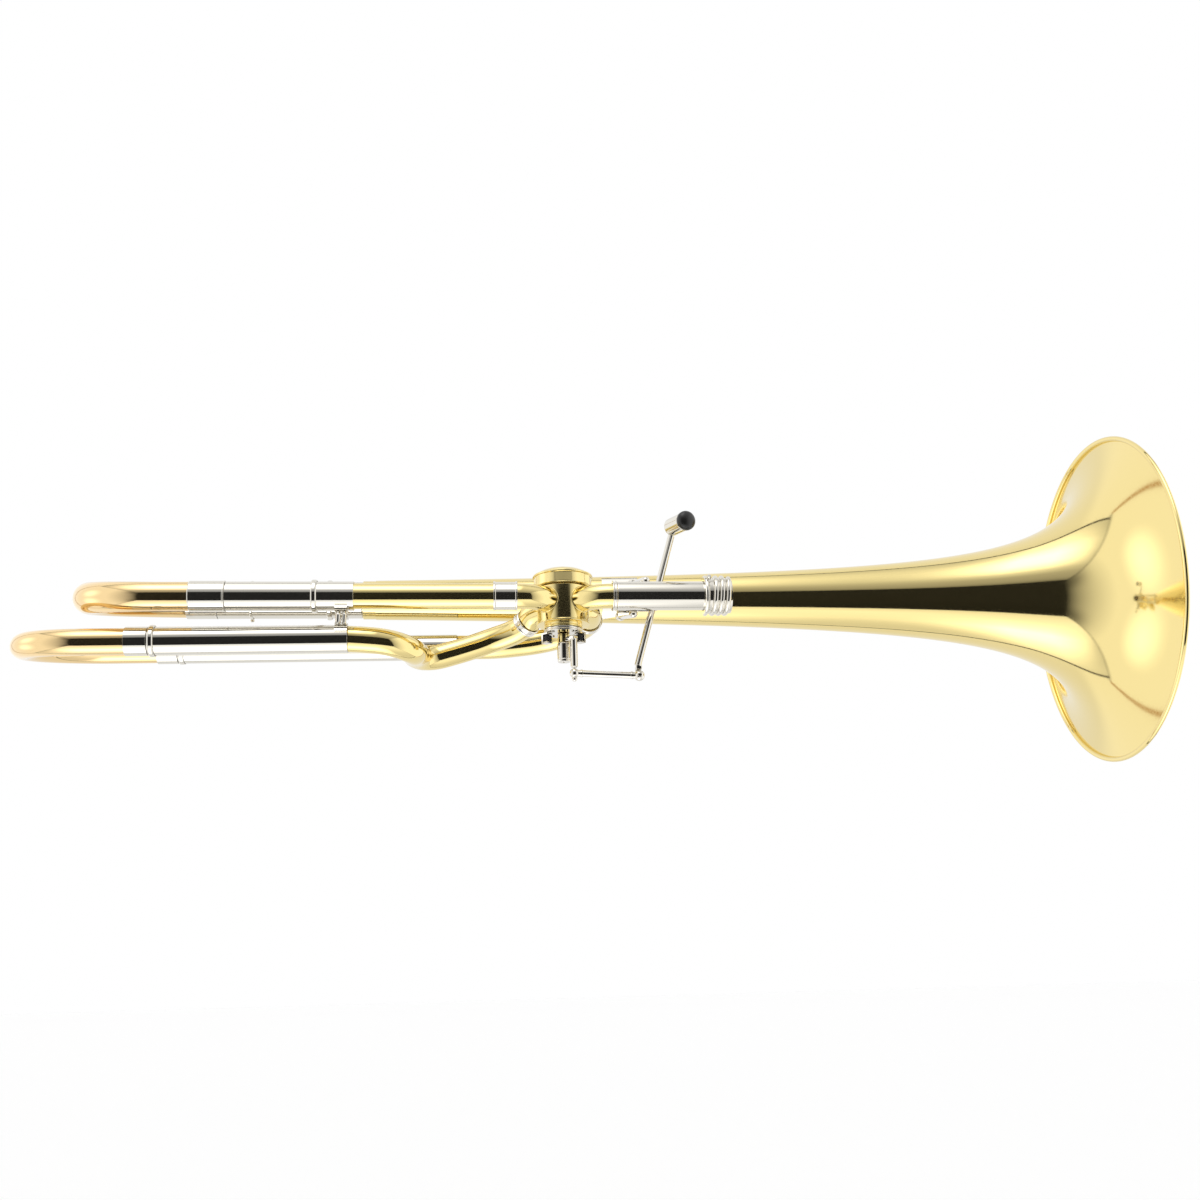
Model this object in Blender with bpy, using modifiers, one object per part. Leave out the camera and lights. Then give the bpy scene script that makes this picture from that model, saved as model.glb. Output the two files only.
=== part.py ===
"""Bell section of a large-bore tenor trombone with an F attachment, as separate pieces.

Metres, +Z up. The origin is the centre of the slide receiver's mouth. +X runs from there
towards the bell's mouth, +Y from the neckpipe to the bell, and +Z along the instrument's top.
"""
import math

import bmesh
import bpy
from mathutils import Matrix, Quaternion, Vector
from mathutils.geometry import interpolate_bezier

# Driving sizes of the bore line, from the slide receiver to the main tuning slide
GAP = 0.0003
WALL = 0.0005
LEG_SPACING = 0.0900
RECEIVER_R = 0.0085
RECEIVER_BORE_R = 0.00695
RECEIVER_MOUTH_R = 0.0075
RECEIVER_END_X = -0.0663
THREAD_ROOT_R = 0.0109
THREAD_CREST_R = 0.0119
THREAD_PITCH = 0.0036
THREAD_COUNT = 3
COLLAR_R = 0.0120
COLLAR_START_X = -0.0150
KNUCKLE_R = 0.0074
GOOSENECK_R = 0.00755
GOOSENECK_START_X = -0.1326
GOOSENECK_END_X = -0.2230
NECK_SLIDE_R = 0.00855
NECK_SLIDE_BORE_R = 0.00815
NECK_SLIDE_END_X = -0.2207
NECK_JOINT_X = -0.2933
BELL_SLIDE_R = 0.0117
BELL_SLIDE_BORE_R = 0.0112
BELL_SLIDE_END_X = -0.2210
BELL_JOINT_X = -0.3115
SPIGOT_R = 0.01135
SPIGOT_LENGTH = 0.0055
SLIDE_BRACE_X = -0.2418
BEAD_X = -0.2905

# Driving sizes of the bell, a horn whose radius falls off by a power of the depth from its mouth
BELL_TAIL_X = -0.2206
BELL_MOUTH_X = 0.2748
BELL_MOUTH_R = 0.1090
BELL_FLARE_DEPTH = 0.02128
BELL_FLARE_POWER = 0.8118
BELL_STEM_R = 0.0044
BELL_SOCKET_R = 0.0123
BELL_SOCKET_BORE_R = 0.01165
BELL_SOCKET_DEPTH = 0.0060
RIM_BEAD_R = 0.0016
RIM_SHEET = 0.00045
RIM_WIRE_R = 0.0008

# Driving sizes of the main tuning slide
MAIN_INNER_NECK_R = 0.0078
MAIN_INNER_BELL_R = 0.0109
MAIN_BOW_NECK_R = 0.0084
MAIN_BOW_BELL_R = 0.0109
MAIN_BOW_BEND_X = -0.3328
NECK_BOW_FERRULE_X = -0.3140
BELL_BOW_FERRULE_X = -0.3307
NECK_BOW_START_X = -0.3051
BELL_BOW_START_X = -0.3222

# Driving sizes of the F tubing: legs that rise slightly towards the valve
F_RISE = math.radians(0.42)
F_REFERENCE_X = -0.3060
F_NEAR_Z = -0.0252
F_FAR_Y = 0.0840
F_FAR_Z = -0.0314
F_SLIDE_R = 0.00815
F_SLIDE_BORE_R = 0.00762
F_INNER_R = 0.0073
F_TUBE_R = 0.0076
F_JOINT_X = -0.3345
F_NEAR_END_X = -0.2228
F_FAR_END_X = -0.1611
F_INNER_END_X = -0.2290
F_BOW_FERRULE_X = -0.3490
F_BOW_START_X = -0.3436
F_BOW_BEND_X = -0.3723

# Driving sizes of the rotary valve, which hangs from the bore line at a tilt
VALVE_TILT = math.radians(14.0)
VALVE_U = -0.0976
VALVE_V = 0.0182
PORT_R = 0.0069
CASING_R = 0.01525
CASING_BORE_R = 0.0136
CASING_TOP = 0.0091
CASING_NECK_R = 0.01475
CASING_NECK_TOP = 0.0145
CASING_FLOOR = -0.0109
CASING_BOTTOM = -0.0131
BOSS_R = 0.01145
BOSS_BOTTOM = -0.0156
SPINDLE_R = 0.0031
SPINDLE_TIP_R = 0.0024
KNUCKLE_BEND_R = 0.0223
KNUCKLE_STRAIGHT = 0.0165
CAP_R = 0.0175
CAP_WAIST_R = 0.0171
CAP_LIP_R = 0.0180
CAP_LIP = 0.0013
CAP_BOTTOM = 0.0094
CAP_SHOULDER = 0.0170
CAP_CROWN = 0.0204
CAP_BOSS_TOP = 0.0236

# Driving sizes of the string-free linkage: thumb lever, link with two balls, stop arm
ARM_R = 0.0085
ARM_REST = math.radians(-50.0)
ARM_PRESSED = math.radians(-140.0)
POST_R = 0.00215
POST_BOTTOM = -0.0404
LINK_LEFT_W = -0.0436
LINK_RIGHT_U = -0.0540
LINK_RIGHT_W = -0.0453
LINK_ROD_R = 0.00185
LINK_LEFT_BALL_R = 0.00285
LINK_RIGHT_BALL_R = 0.0031
LEVER_PIVOT_U = -0.0434
LEVER_ROD_R = 0.00205
LEVER_SLOPE = 0.2877
LEVER_TOP_W = 0.0408
LEVER_BOTTOM_W = -0.0394
HINGE_PIN_R = 0.0016
HINGE_BARREL_R = 0.0036
THUMB_BARREL_R = 0.0055
THUMB_CAP_R = 0.0059

# Driving sizes of the bell brace behind the receiver
BRACE_ROD_R = 0.0026
BRACE_UPPER = (-0.0492, 0.0090)
BRACE_LOWER = (-0.0566, -0.0103)
NECK_SADDLE_X = (-0.0612, -0.0462)
BELL_SADDLE_X = (-0.0685, -0.0455)
BRACE_START_Y = 0.0045
SADDLE_SHEET = 0.0010

# Facets of the round pieces
TUBE_SIDES = 16
SMALL_SIDES = 12
BELL_SIDES = 40
BELL_STATIONS = 18
BEND_STEP = math.radians(15.0)
WELD = 0.000002
SHARP_ANGLE = math.radians(35.0)

X_AXIS = Vector((1.0, 0.0, 0.0))
Y_AXIS = Vector((0.0, 1.0, 0.0))
Z_AXIS = Vector((0.0, 0.0, 1.0))
V_AXIS = Vector((0.0, math.cos(VALVE_TILT), -math.sin(VALVE_TILT)))
W_AXIS = Vector((0.0, math.sin(VALVE_TILT), math.cos(VALVE_TILT)))
F_AXIS = Vector((math.cos(F_RISE), 0.0, math.sin(F_RISE)))
BELL_CENTRE = Vector((0.0, LEG_SPACING, 0.0))


# Scene, collections and materials

def clear_scene():
    """Remove whatever the file held, so that the model starts from nothing."""
    for item in list(bpy.data.objects):
        bpy.data.objects.remove(item, do_unlink=True)
    for item in list(bpy.data.collections):
        bpy.data.collections.remove(item)


clear_scene()
PARTS = bpy.data.collections.new("tenor_trombone")
bpy.context.scene.collection.children.link(PARTS)


def make_finish(name, colour, roughness, metallic):
    """One Principled material, its colour given as linear red, green and blue."""
    finish = bpy.data.materials.new(name)
    finish.use_nodes = True
    shader = finish.node_tree.nodes["Principled BSDF"]
    shader.inputs["Base Color"].default_value = (*colour, 1.0)
    shader.inputs["Roughness"].default_value = roughness
    shader.inputs["Metallic"].default_value = metallic
    finish.diffuse_color = (*colour, 1.0)
    return finish


YELLOW_BRASS = make_finish("yellow_brass", (0.80, 0.60, 0.25), 0.18, 1.0)
ROSE_BRASS = make_finish("rose_brass", (0.78, 0.48, 0.24), 0.18, 1.0)
NICKEL_SILVER = make_finish("nickel_silver", (0.72, 0.69, 0.62), 0.15, 1.0)
ROTOR_BRASS = make_finish("rotor_brass", (0.70, 0.52, 0.24), 0.30, 1.0)
SPRING_STEEL = make_finish("spring_steel", (0.55, 0.55, 0.56), 0.30, 1.0)
BLACK_RUBBER = make_finish("black_rubber", (0.02, 0.02, 0.02), 0.80, 0.0)
BLACK_NYLON = make_finish("black_nylon", (0.03, 0.03, 0.03), 0.45, 0.0)


# Frames

def tilted(u, v, w):
    """A point given in the valve's frame: along the bore line, across and up its tilted plane."""
    return X_AXIS * u + V_AXIS * v + W_AXIS * w


def near_leg(x):
    """A point on the axis of the F tubing's near leg."""
    rise = (x - F_REFERENCE_X) * math.tan(F_RISE)
    return Vector((x, 0.0, F_NEAR_Z + rise))


def far_leg(x):
    """A point on the axis of the F tubing's far leg."""
    rise = (x - F_REFERENCE_X) * math.tan(F_RISE)
    return Vector((x, F_FAR_Y, F_FAR_Z + rise))


def port_axis(side_u, side_v):
    """Direction in which one of the valve's four ports points."""
    return (X_AXIS * side_u + V_AXIS * side_v).normalized()


VALVE_CENTRE = tilted(VALVE_U, VALVE_V, 0.0)


# Modelling helpers

def add_object(name, mesh, finish):
    """Link a mesh to the model as a named piece."""
    item = bpy.data.objects.new(name, mesh)
    PARTS.objects.link(item)
    if finish is not None:
        mesh.materials.clear()
        mesh.materials.append(finish)
    return item


def settle(item, finish):
    """Make an object's evaluated shape its own welded mesh, round faces shaded smooth."""
    depsgraph = bpy.context.evaluated_depsgraph_get()
    mesh = bpy.data.meshes.new_from_object(item.evaluated_get(depsgraph))
    work = bmesh.new()
    work.from_mesh(mesh)
    bmesh.ops.remove_doubles(work, verts=work.verts, dist=WELD)
    work.to_mesh(mesh)
    work.free()
    name = item.name
    place = item.matrix_world.copy()
    bpy.data.objects.remove(item, do_unlink=True)
    mesh.name = name
    mesh.shade_smooth()
    mesh.set_sharp_from_angle(angle=SHARP_ANGLE)
    settled = add_object(name, mesh, finish)
    settled.matrix_world = place
    return settled


def turned(name, outline, base, axis, finish, sides=TUBE_SIDES):
    """Turn an outline of (radius, distance along the axis) pairs about the axis through base.

    The outline runs down its outer side. One that starts on the axis stays open there,
    and any other is closed into a ring.
    """
    points = [(radius, 0.0, along) for radius, along in outline]
    edges = [(index, index + 1) for index in range(len(points) - 1)]
    if outline[0][0] > 0.0:
        edges.append((len(points) - 1, 0))
    mesh = bpy.data.meshes.new(name)
    mesh.from_pydata(points, edges, [])
    item = add_object(name, mesh, finish)
    item.matrix_world = Matrix.Translation(base) @ axis.to_track_quat("Z", "Y").to_matrix().to_4x4()
    turn = item.modifiers.new("turn", "SCREW")
    turn.axis = "Z"
    turn.steps = sides
    turn.render_steps = sides
    turn.use_merge_vertices = True
    turn.merge_threshold = WELD
    bpy.context.view_layer.update()
    return settle(item, finish)


def ring(name, radius, bore, high, low, base, axis, finish, sides=TUBE_SIDES):
    """A plain tube or ring between two distances along its axis."""
    outline = [(radius, high), (radius, low), (bore, low), (bore, high)]
    return turned(name, outline, base, axis, finish, sides)


def rod(name, radius, high, low, base, axis, finish, sides=SMALL_SIDES):
    """A plain solid cylinder between two distances along its axis."""
    outline = [(0.0, high), (radius, high), (radius, low), (0.0, low)]
    return turned(name, outline, base, axis, finish, sides)


def ball(name, radius, centre, axis, finish, sides=SMALL_SIDES, rings=8):
    """A solid ball, turned from a half circle."""
    outline = []
    for index in range(rings + 1):
        angle = math.pi * index / rings
        outline.append((radius * math.sin(angle), radius * math.cos(angle)))
    outline[0] = (0.0, radius)
    outline[-1] = (0.0, -radius)
    return turned(name, outline, centre, axis, finish, sides)


def block(name, size, place, finish):
    """A rectangular block from Blender's cube, its size in its own axes."""
    bpy.ops.mesh.primitive_cube_add(size=1.0)
    item = bpy.context.object
    mesh = item.data
    bpy.data.objects.remove(item, do_unlink=True)
    mesh.transform(Matrix.Diagonal((*size, 1.0)))
    made = add_object(name, mesh, finish)
    made.matrix_world = place
    bpy.context.view_layer.update()
    return made


def combine(item, tools, operation, finish):
    """Cut an object with the tools or join them to it, then remove the tools."""
    for tool in tools:
        tool.hide_render = True
        tool.display_type = "WIRE"
        step = item.modifiers.new("combine", "BOOLEAN")
        step.operation = operation
        step.solver = "EXACT"
        step.object = tool
    bpy.context.view_layer.update()
    made = settle(item, finish)
    for tool in tools:
        bpy.data.objects.remove(tool, do_unlink=True)
    return made


def tube_route(corners, bend_radii):
    """Straight runs from corner to corner, joined by arcs as a bent tube has them."""
    route = [corners[0]]
    for before, corner, after, bend in zip(corners, corners[1:], corners[2:], bend_radii):
        into = (corner - before).normalized()
        out = (after - corner).normalized()
        turn = into.angle(out)
        start = corner - into * bend * math.tan(turn / 2.0)
        hinge = into.cross(out).normalized()
        centre = start + hinge.cross(into) * bend
        steps = max(2, round(turn / BEND_STEP))
        for index in range(steps + 1):
            spin = Quaternion(hinge, turn * index / steps)
            point = centre + spin @ (start - centre)
            if (point - route[-1]).length > GAP:
                route.append(point)
    route.append(corners[-1])
    return route


def bent_tube(name, route, radii, finish, sides=TUBE_SIDES):
    """A thin tube along a route, from a bevelled curve with a wall given by Solidify."""
    curve = bpy.data.curves.new(name, "CURVE")
    curve.dimensions = "3D"
    curve.bevel_depth = 1.0
    curve.bevel_resolution = sides // 2 - 2
    curve.use_fill_caps = False
    spline = curve.splines.new("POLY")
    spline.points.add(len(route) - 1)
    for point, place, radius in zip(spline.points, route, radii):
        point.co = (*place, 1.0)
        point.radius = radius
    item = bpy.data.objects.new(name, curve)
    PARTS.objects.link(item)
    bpy.context.view_layer.update()
    shell = settle(item, finish)
    wall = shell.modifiers.new("wall", "SOLIDIFY")
    wall.thickness = WALL
    wall.offset = -1.0
    wall.use_even_offset = True
    bpy.context.view_layer.update()
    return settle(shell, finish)


def joint_origin(name, place, members):
    """An empty on a joint's axis, which carries the pieces that the joint moves."""
    origin = bpy.data.objects.new(name, None)
    PARTS.objects.link(origin)
    origin.location = place
    bpy.context.view_layer.update()
    for member in members:
        kept = member.matrix_world.copy()
        member.parent = origin
        member.matrix_parent_inverse = origin.matrix_world.inverted()
        member.matrix_world = kept
    return origin


# The bell

def bell_radius(x):
    """Outer radius of the bell at a place along it."""
    depth = BELL_MOUTH_X - x
    flare = (1.0 + depth / BELL_FLARE_DEPTH) ** -BELL_FLARE_POWER
    return BELL_STEM_R + (BELL_MOUTH_R - BELL_STEM_R) * flare


def bell_places():
    """Places along the bell, close together where it flares."""
    first = BELL_MOUTH_X - 0.00055
    last = BELL_TAIL_X + 0.0160
    places = []
    for index in range(BELL_STATIONS):
        share = (index / (BELL_STATIONS - 1)) ** 2.4
        places.append(first + (last - first) * share)
    return places


def curl_point(radius, angle):
    """A point round the rolled rim, from its front over its outer side to its back."""
    return (
        BELL_MOUTH_R - RIM_BEAD_R + radius * math.sin(angle),
        BELL_MOUTH_X - RIM_BEAD_R + radius * math.cos(angle),
    )


def make_bell():
    """The bell with its tail socket and its rim rolled over the rim wire."""
    places = bell_places()
    outline = []
    for x in places:
        slope = (bell_radius(x + 0.0001) - bell_radius(x - 0.0001)) / 0.0002
        slant = math.hypot(1.0, slope)
        outline.append((bell_radius(x) + WALL / 2 / slant, x - WALL / 2 * slope / slant))
    outline.append((BELL_SOCKET_R, BELL_TAIL_X + 0.0090))
    outline.append((BELL_SOCKET_R, BELL_TAIL_X))
    outline.append((BELL_SOCKET_BORE_R, BELL_TAIL_X))
    outline.append((BELL_SOCKET_BORE_R, BELL_TAIL_X + BELL_SOCKET_DEPTH))
    for x in reversed(places):
        slope = (bell_radius(x + 0.0001) - bell_radius(x - 0.0001)) / 0.0002
        slant = math.hypot(1.0, slope)
        outline.append((bell_radius(x) - WALL / 2 / slant, x + WALL / 2 * slope / slant))
    curl_angles = [math.radians(degrees) for degrees in range(0, 241, 60)]
    for angle in curl_angles:
        outline.append(curl_point(RIM_BEAD_R, angle))
    for angle in reversed(curl_angles):
        outline.append(curl_point(RIM_BEAD_R - RIM_SHEET, angle))
    return turned("bell", outline, BELL_CENTRE, X_AXIS, YELLOW_BRASS, BELL_SIDES)


def make_rim_wire():
    """The wire inside the rolled rim."""
    outline = []
    for index in range(6):
        angle = math.radians(60.0 * index)
        outline.append(curl_point(RIM_WIRE_R, angle))
    return turned("bell_rim_wire", outline, BELL_CENTRE, X_AXIS, NICKEL_SILVER, BELL_SIDES)


# The bore line between the receiver and the main tuning slide

def make_receiver():
    """The slide receiver: its tube, threaded collar and locating pin."""
    origin = Vector((0.0, 0.0, 0.0))
    taper_depth = -0.0450
    tube = [
        (RECEIVER_R, 0.0),
        (RECEIVER_R, RECEIVER_END_X),
        (RECEIVER_BORE_R, RECEIVER_END_X),
        (RECEIVER_BORE_R, taper_depth),
        (RECEIVER_MOUTH_R, 0.0),
    ]
    turned("slide_receiver_tube", tube, origin, X_AXIS, NICKEL_SILVER)
    thread = [(THREAD_ROOT_R, 0.0)]
    for index in range(THREAD_COUNT):
        middle = -THREAD_PITCH * (index + 0.5)
        thread.append((THREAD_CREST_R, middle + THREAD_PITCH * 0.22))
        thread.append((THREAD_CREST_R, middle - THREAD_PITCH * 0.22))
        thread.append((THREAD_ROOT_R, middle - THREAD_PITCH * 0.5))
    ring_start = thread[-1][1]
    thread.append((COLLAR_R, ring_start - GAP))
    thread.append((COLLAR_R, COLLAR_START_X))
    thread.append((RECEIVER_R + GAP, COLLAR_START_X))
    thread.append((RECEIVER_R + GAP, 0.0))
    turned("slide_receiver_thread", thread, origin, X_AXIS, NICKEL_SILVER, 24)
    outward = Vector((0.0, -math.cos(math.radians(56.0)), math.sin(math.radians(56.0))))
    pin_base = Vector((-0.0132, 0.0, 0.0))
    rod("receiver_key_pin", 0.0012, 0.0140, COLLAR_R + GAP, pin_base, outward, NICKEL_SILVER)


def make_neck_line():
    """The gooseneck, its ferrules and the neck side of the tuning slide's outer tubes."""
    origin = Vector((0.0, 0.0, 0.0))
    bore = KNUCKLE_R + GAP
    high = RECEIVER_END_X - GAP
    beads = [
        (0.0087, high), (0.0091, high - 0.0004), (0.0091, high - 0.0012), (0.0085, high - 0.0017),
        (0.0091, high - 0.0022), (0.0091, high - 0.0030), (0.0087, high - 0.0034),
        (bore, high - 0.0034), (bore, high),
    ]
    turned("neckpipe_ferrule", beads, origin, X_AXIS, NICKEL_SILVER)
    bore = GOOSENECK_R + GAP
    high, low = -0.1255, -0.1394
    ferrule = [
        (0.0086, high), (0.0086, high - 0.0010), (0.0083, high - 0.0013), (0.0083, low + 0.0013),
        (0.0086, low + 0.0010), (0.0086, low), (bore, low), (bore, high),
    ]
    turned("gooseneck_ferrule", ferrule, origin, X_AXIS, NICKEL_SILVER)
    ring("gooseneck_tube", GOOSENECK_R, GOOSENECK_R - WALL, GOOSENECK_START_X, GOOSENECK_END_X,
         origin, X_AXIS, YELLOW_BRASS)
    shoulder = -0.2243
    outer = [
        (NECK_SLIDE_R, NECK_SLIDE_END_X), (NECK_SLIDE_R, NECK_JOINT_X),
        (NECK_SLIDE_BORE_R, NECK_JOINT_X), (NECK_SLIDE_BORE_R, shoulder),
        (GOOSENECK_R + GAP, shoulder), (GOOSENECK_R + GAP, NECK_SLIDE_END_X),
    ]
    turned("neck_slide_tube", outer, origin, X_AXIS, NICKEL_SILVER)


def brace_collar(name, bore, base, axis):
    """A rounded ring that a cross brace is soldered to."""
    outline = [
        (bore + 0.0004, 0.0016), (bore + 0.0008, 0.0009), (bore + 0.0008, -0.0009),
        (bore + 0.0004, -0.0016), (bore, -0.0016), (bore, 0.0016),
    ]
    return turned(name, outline, base, axis, NICKEL_SILVER)


def make_bell_slide():
    """The bell side's outer slide tube with its bead, both brace collars and the cross brace."""
    spigot_end = BELL_SLIDE_END_X + SPIGOT_LENGTH
    shoulder = BELL_SLIDE_END_X - 0.0012
    outer = [
        (SPIGOT_R, spigot_end), (SPIGOT_R, BELL_SLIDE_END_X), (BELL_SLIDE_R, BELL_SLIDE_END_X - GAP),
        (BELL_SLIDE_R, BELL_JOINT_X), (BELL_SLIDE_BORE_R, BELL_JOINT_X),
        (BELL_SLIDE_BORE_R, shoulder), (SPIGOT_R - WALL, shoulder), (SPIGOT_R - WALL, spigot_end),
    ]
    turned("bell_slide_tube", outer, BELL_CENTRE, X_AXIS, NICKEL_SILVER)
    bead_place = BELL_CENTRE + X_AXIS * BEAD_X
    bead = brace_collar("bell_slide_bead", BELL_SLIDE_R + GAP, bead_place, X_AXIS)
    pin = rod("bead_pin", 0.0009, 0.0150, 0.0124, bead_place, -Z_AXIS, NICKEL_SILVER)
    combine(bead, [pin], "UNION", NICKEL_SILVER)
    bell_collar = BELL_CENTRE + X_AXIS * SLIDE_BRACE_X
    neck_collar = X_AXIS * SLIDE_BRACE_X
    brace_collar("bell_slide_collar", BELL_SLIDE_R + GAP, bell_collar, X_AXIS)
    brace_collar("neck_slide_collar", NECK_SLIDE_R + GAP, neck_collar, X_AXIS)
    low = NECK_SLIDE_R + 0.0008 + GAP * 2
    high = LEG_SPACING - BELL_SLIDE_R - 0.0008 - GAP * 2
    brace = [
        (0.0, high), (0.0040, high), (0.0040, high - 0.0012), (0.0022, high - 0.0050),
        (0.0022, low + 0.0050), (0.0040, low + 0.0012), (0.0040, low), (0.0, low),
    ]
    turned("slide_cross_brace", brace, neck_collar, Y_AXIS, NICKEL_SILVER, SMALL_SIDES)


# The main tuning slide

def bow_radii(route, first, last):
    """Radii that grow along the bend and stay level on the straight ends."""
    lengths = [0.0]
    for before, after in zip(route, route[1:]):
        lengths.append(lengths[-1] + (after - before).length)
    start = lengths[1]
    stop = lengths[-2]
    radii = []
    for length in lengths:
        share = min(1.0, max(0.0, (length - start) / (stop - start)))
        radii.append(first + (last - first) * share)
    return radii


def make_main_slide():
    """The main tuning slide: a conical bow, two ferrules and two inner tubes."""
    origin = Vector((0.0, 0.0, 0.0))
    bend = LEG_SPACING / 2
    corner_x = MAIN_BOW_BEND_X - bend
    corners = [
        Vector((NECK_BOW_START_X, 0.0, 0.0)), Vector((corner_x, 0.0, 0.0)),
        Vector((corner_x, LEG_SPACING, 0.0)), Vector((BELL_BOW_START_X, LEG_SPACING, 0.0)),
    ]
    route = tube_route(corners, [bend, bend])
    radii = bow_radii(route, MAIN_BOW_NECK_R, MAIN_BOW_BELL_R)
    bow = bent_tube("main_bow", route, radii, ROSE_BRASS)
    neck_inner = ring("main_neck_inner_tube", MAIN_INNER_NECK_R, MAIN_INNER_NECK_R - WALL,
                      -0.2249, NECK_BOW_START_X + 0.0012, origin, X_AXIS, NICKEL_SILVER)
    bell_inner = ring("main_bell_inner_tube", MAIN_INNER_BELL_R, MAIN_INNER_BELL_R - WALL,
                      -0.2228, BELL_BOW_START_X + 0.0006, BELL_CENTRE, X_AXIS, NICKEL_SILVER)
    high, step, low = NECK_JOINT_X - GAP, NECK_BOW_START_X + 0.0006, NECK_BOW_FERRULE_X
    neck_outline = [
        (0.00905, high), (0.00905, low), (MAIN_BOW_NECK_R + GAP, low),
        (MAIN_BOW_NECK_R + GAP, step), (MAIN_INNER_NECK_R + GAP, step), (MAIN_INNER_NECK_R + GAP, high),
    ]
    neck_ferrule = turned("main_neck_ferrule", neck_outline, origin, X_AXIS, NICKEL_SILVER)
    high, low = BELL_JOINT_X - GAP, BELL_BOW_FERRULE_X
    bore = MAIN_BOW_BELL_R + GAP
    bell_outline = [
        (0.0122, high), (0.0122, high - 0.0016), (0.01175, high - 0.0019),
        (0.01175, low), (bore, low), (bore, high),
    ]
    bell_ferrule = turned("main_bell_ferrule", bell_outline, BELL_CENTRE, X_AXIS, NICKEL_SILVER)
    members = [bow, neck_inner, bell_inner, neck_ferrule, bell_ferrule]
    joint_origin("main_slide_axis", Vector((MAIN_BOW_BEND_X, LEG_SPACING / 2, 0.0)), members)


# The F tubing and its slide

def along_f(x):
    """Distance along a leg's axis from its reference place."""
    return (x - F_REFERENCE_X) / math.cos(F_RISE)


def make_f_slide():
    """The F slide: a bow, two ferrules and two inner tubes."""
    spacing = far_leg(F_BOW_BEND_X) - near_leg(F_BOW_BEND_X)
    bend = spacing.length / 2 * 0.9995
    corner_x = F_BOW_BEND_X - bend
    corners = [near_leg(F_BOW_START_X), near_leg(corner_x), far_leg(corner_x), far_leg(F_BOW_START_X)]
    route = tube_route(corners, [bend, bend])
    members = [bent_tube("f_bow", route, [F_TUBE_R] * len(route), ROSE_BRASS)]
    joint = along_f(F_JOINT_X) - GAP
    bow_side = along_f(F_BOW_FERRULE_X)
    bore = F_TUBE_R + GAP
    outline = [
        (0.0088, joint), (0.0088, joint - 0.0014), (0.0083, joint - 0.0017),
        (0.0083, bow_side), (bore, bow_side), (bore, joint),
    ]
    for side, leg in (("near", near_leg), ("far", far_leg)):
        base = leg(F_REFERENCE_X)
        members.append(turned(f"f_{side}_bow_ferrule", outline, base, F_AXIS, NICKEL_SILVER))
        members.append(ring(f"f_{side}_inner_tube", F_INNER_R, F_INNER_R - WALL, along_f(F_INNER_END_X),
                            along_f(F_BOW_START_X) + 0.0006, base, F_AXIS, NICKEL_SILVER))
    joint_origin("f_slide_axis", near_leg(F_BOW_BEND_X), members)


def make_f_slide_sleeves():
    """The F slide's outer tubes and the collars at their open ends."""
    for side, leg, end_x in (("near", near_leg, F_NEAR_END_X), ("far", far_leg, F_FAR_END_X)):
        base = leg(F_REFERENCE_X)
        ring(f"f_{side}_slide_tube", F_SLIDE_R, F_SLIDE_BORE_R, along_f(end_x), along_f(F_JOINT_X),
             base, F_AXIS, NICKEL_SILVER)
        brace_collar(f"f_{side}_slide_collar", F_SLIDE_R + GAP, leg(F_JOINT_X + 0.0020), F_AXIS)


def sleeve(name, base, axis):
    """A short ferrule round F tubing, rounded at both ends."""
    bore = F_TUBE_R + GAP
    outline = [
        (0.0082, 0.0024), (0.0085, 0.0020), (0.0085, -0.0020),
        (0.0082, -0.0024), (bore, -0.0024), (bore, 0.0024),
    ]
    return turned(name, outline, base, axis, NICKEL_SILVER)


def port_place(side_u, side_v, distance):
    """A point on a port's axis at a distance from the rotor's axis."""
    return VALVE_CENTRE + port_axis(side_u, side_v) * distance


def return_places():
    """Places on the axis of the gold tube from the near leg to the valve's left back port."""
    under = [
        (-0.2128, 0.0002, -0.0252), (-0.2040, 0.0010, -0.0261), (-0.1960, 0.0036, -0.0279),
        (-0.1895, 0.0090, -0.0303), (-0.1861, 0.0172, -0.0323), (-0.1855, 0.0265, -0.0335),
        (-0.1850, 0.0355, -0.0349), (-0.1812, 0.0440, -0.0363), (-0.1735, 0.0480, -0.0361),
        (-0.1634, 0.0488, -0.0336), (-0.1504, 0.0487, -0.0297), (-0.1390, 0.0480, -0.0258),
        (-0.1252, 0.0434, -0.0206), (-0.1188, 0.0385, -0.0160), (-0.1150, 0.0342, -0.0103),
    ]
    places = [near_leg(F_NEAR_END_X + GAP)] + [Vector(place) for place in under]
    return places + [port_place(-1.0, 1.0, distance) for distance in (0.0165, 0.0100)]


def feed_places():
    """Places on the axis of the gold tube from the far leg to the valve's right back port."""
    behind = [
        (-0.1154, 0.0836, -0.0281), (-0.1014, 0.0815, -0.0255), (-0.0896, 0.0745, -0.0218),
        (-0.0819, 0.0640, -0.0178), (-0.0793, 0.0520, -0.0138), (-0.0805, 0.0405, -0.0102),
    ]
    places = [far_leg(F_FAR_END_X + GAP), far_leg(-0.1374)] + [Vector(place) for place in behind]
    return places + [port_place(1.0, 1.0, distance) for distance in (0.0175, 0.0100)]


def smooth_route(places, split, steps):
    """A smooth curve through the places, cut in two at one of them, with its heading there."""
    tangents = [places[1] - places[0]]
    for before, after in zip(places, places[2:]):
        tangents.append((after - before) / 2.0)
    tangents.append(places[-1] - places[-2])
    route = [places[0]]
    cut = 0
    for index, (start, stop) in enumerate(zip(places, places[1:])):
        reach = (stop - start).length
        lead = start + tangents[index].normalized() * reach / 3.0
        trail = stop - tangents[index + 1].normalized() * reach / 3.0
        route += interpolate_bezier(start, lead, trail, stop, steps + 1)[1:]
        if index + 1 == split:
            cut = len(route) - 1
    return route, cut, tangents[split].normalized()


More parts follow.
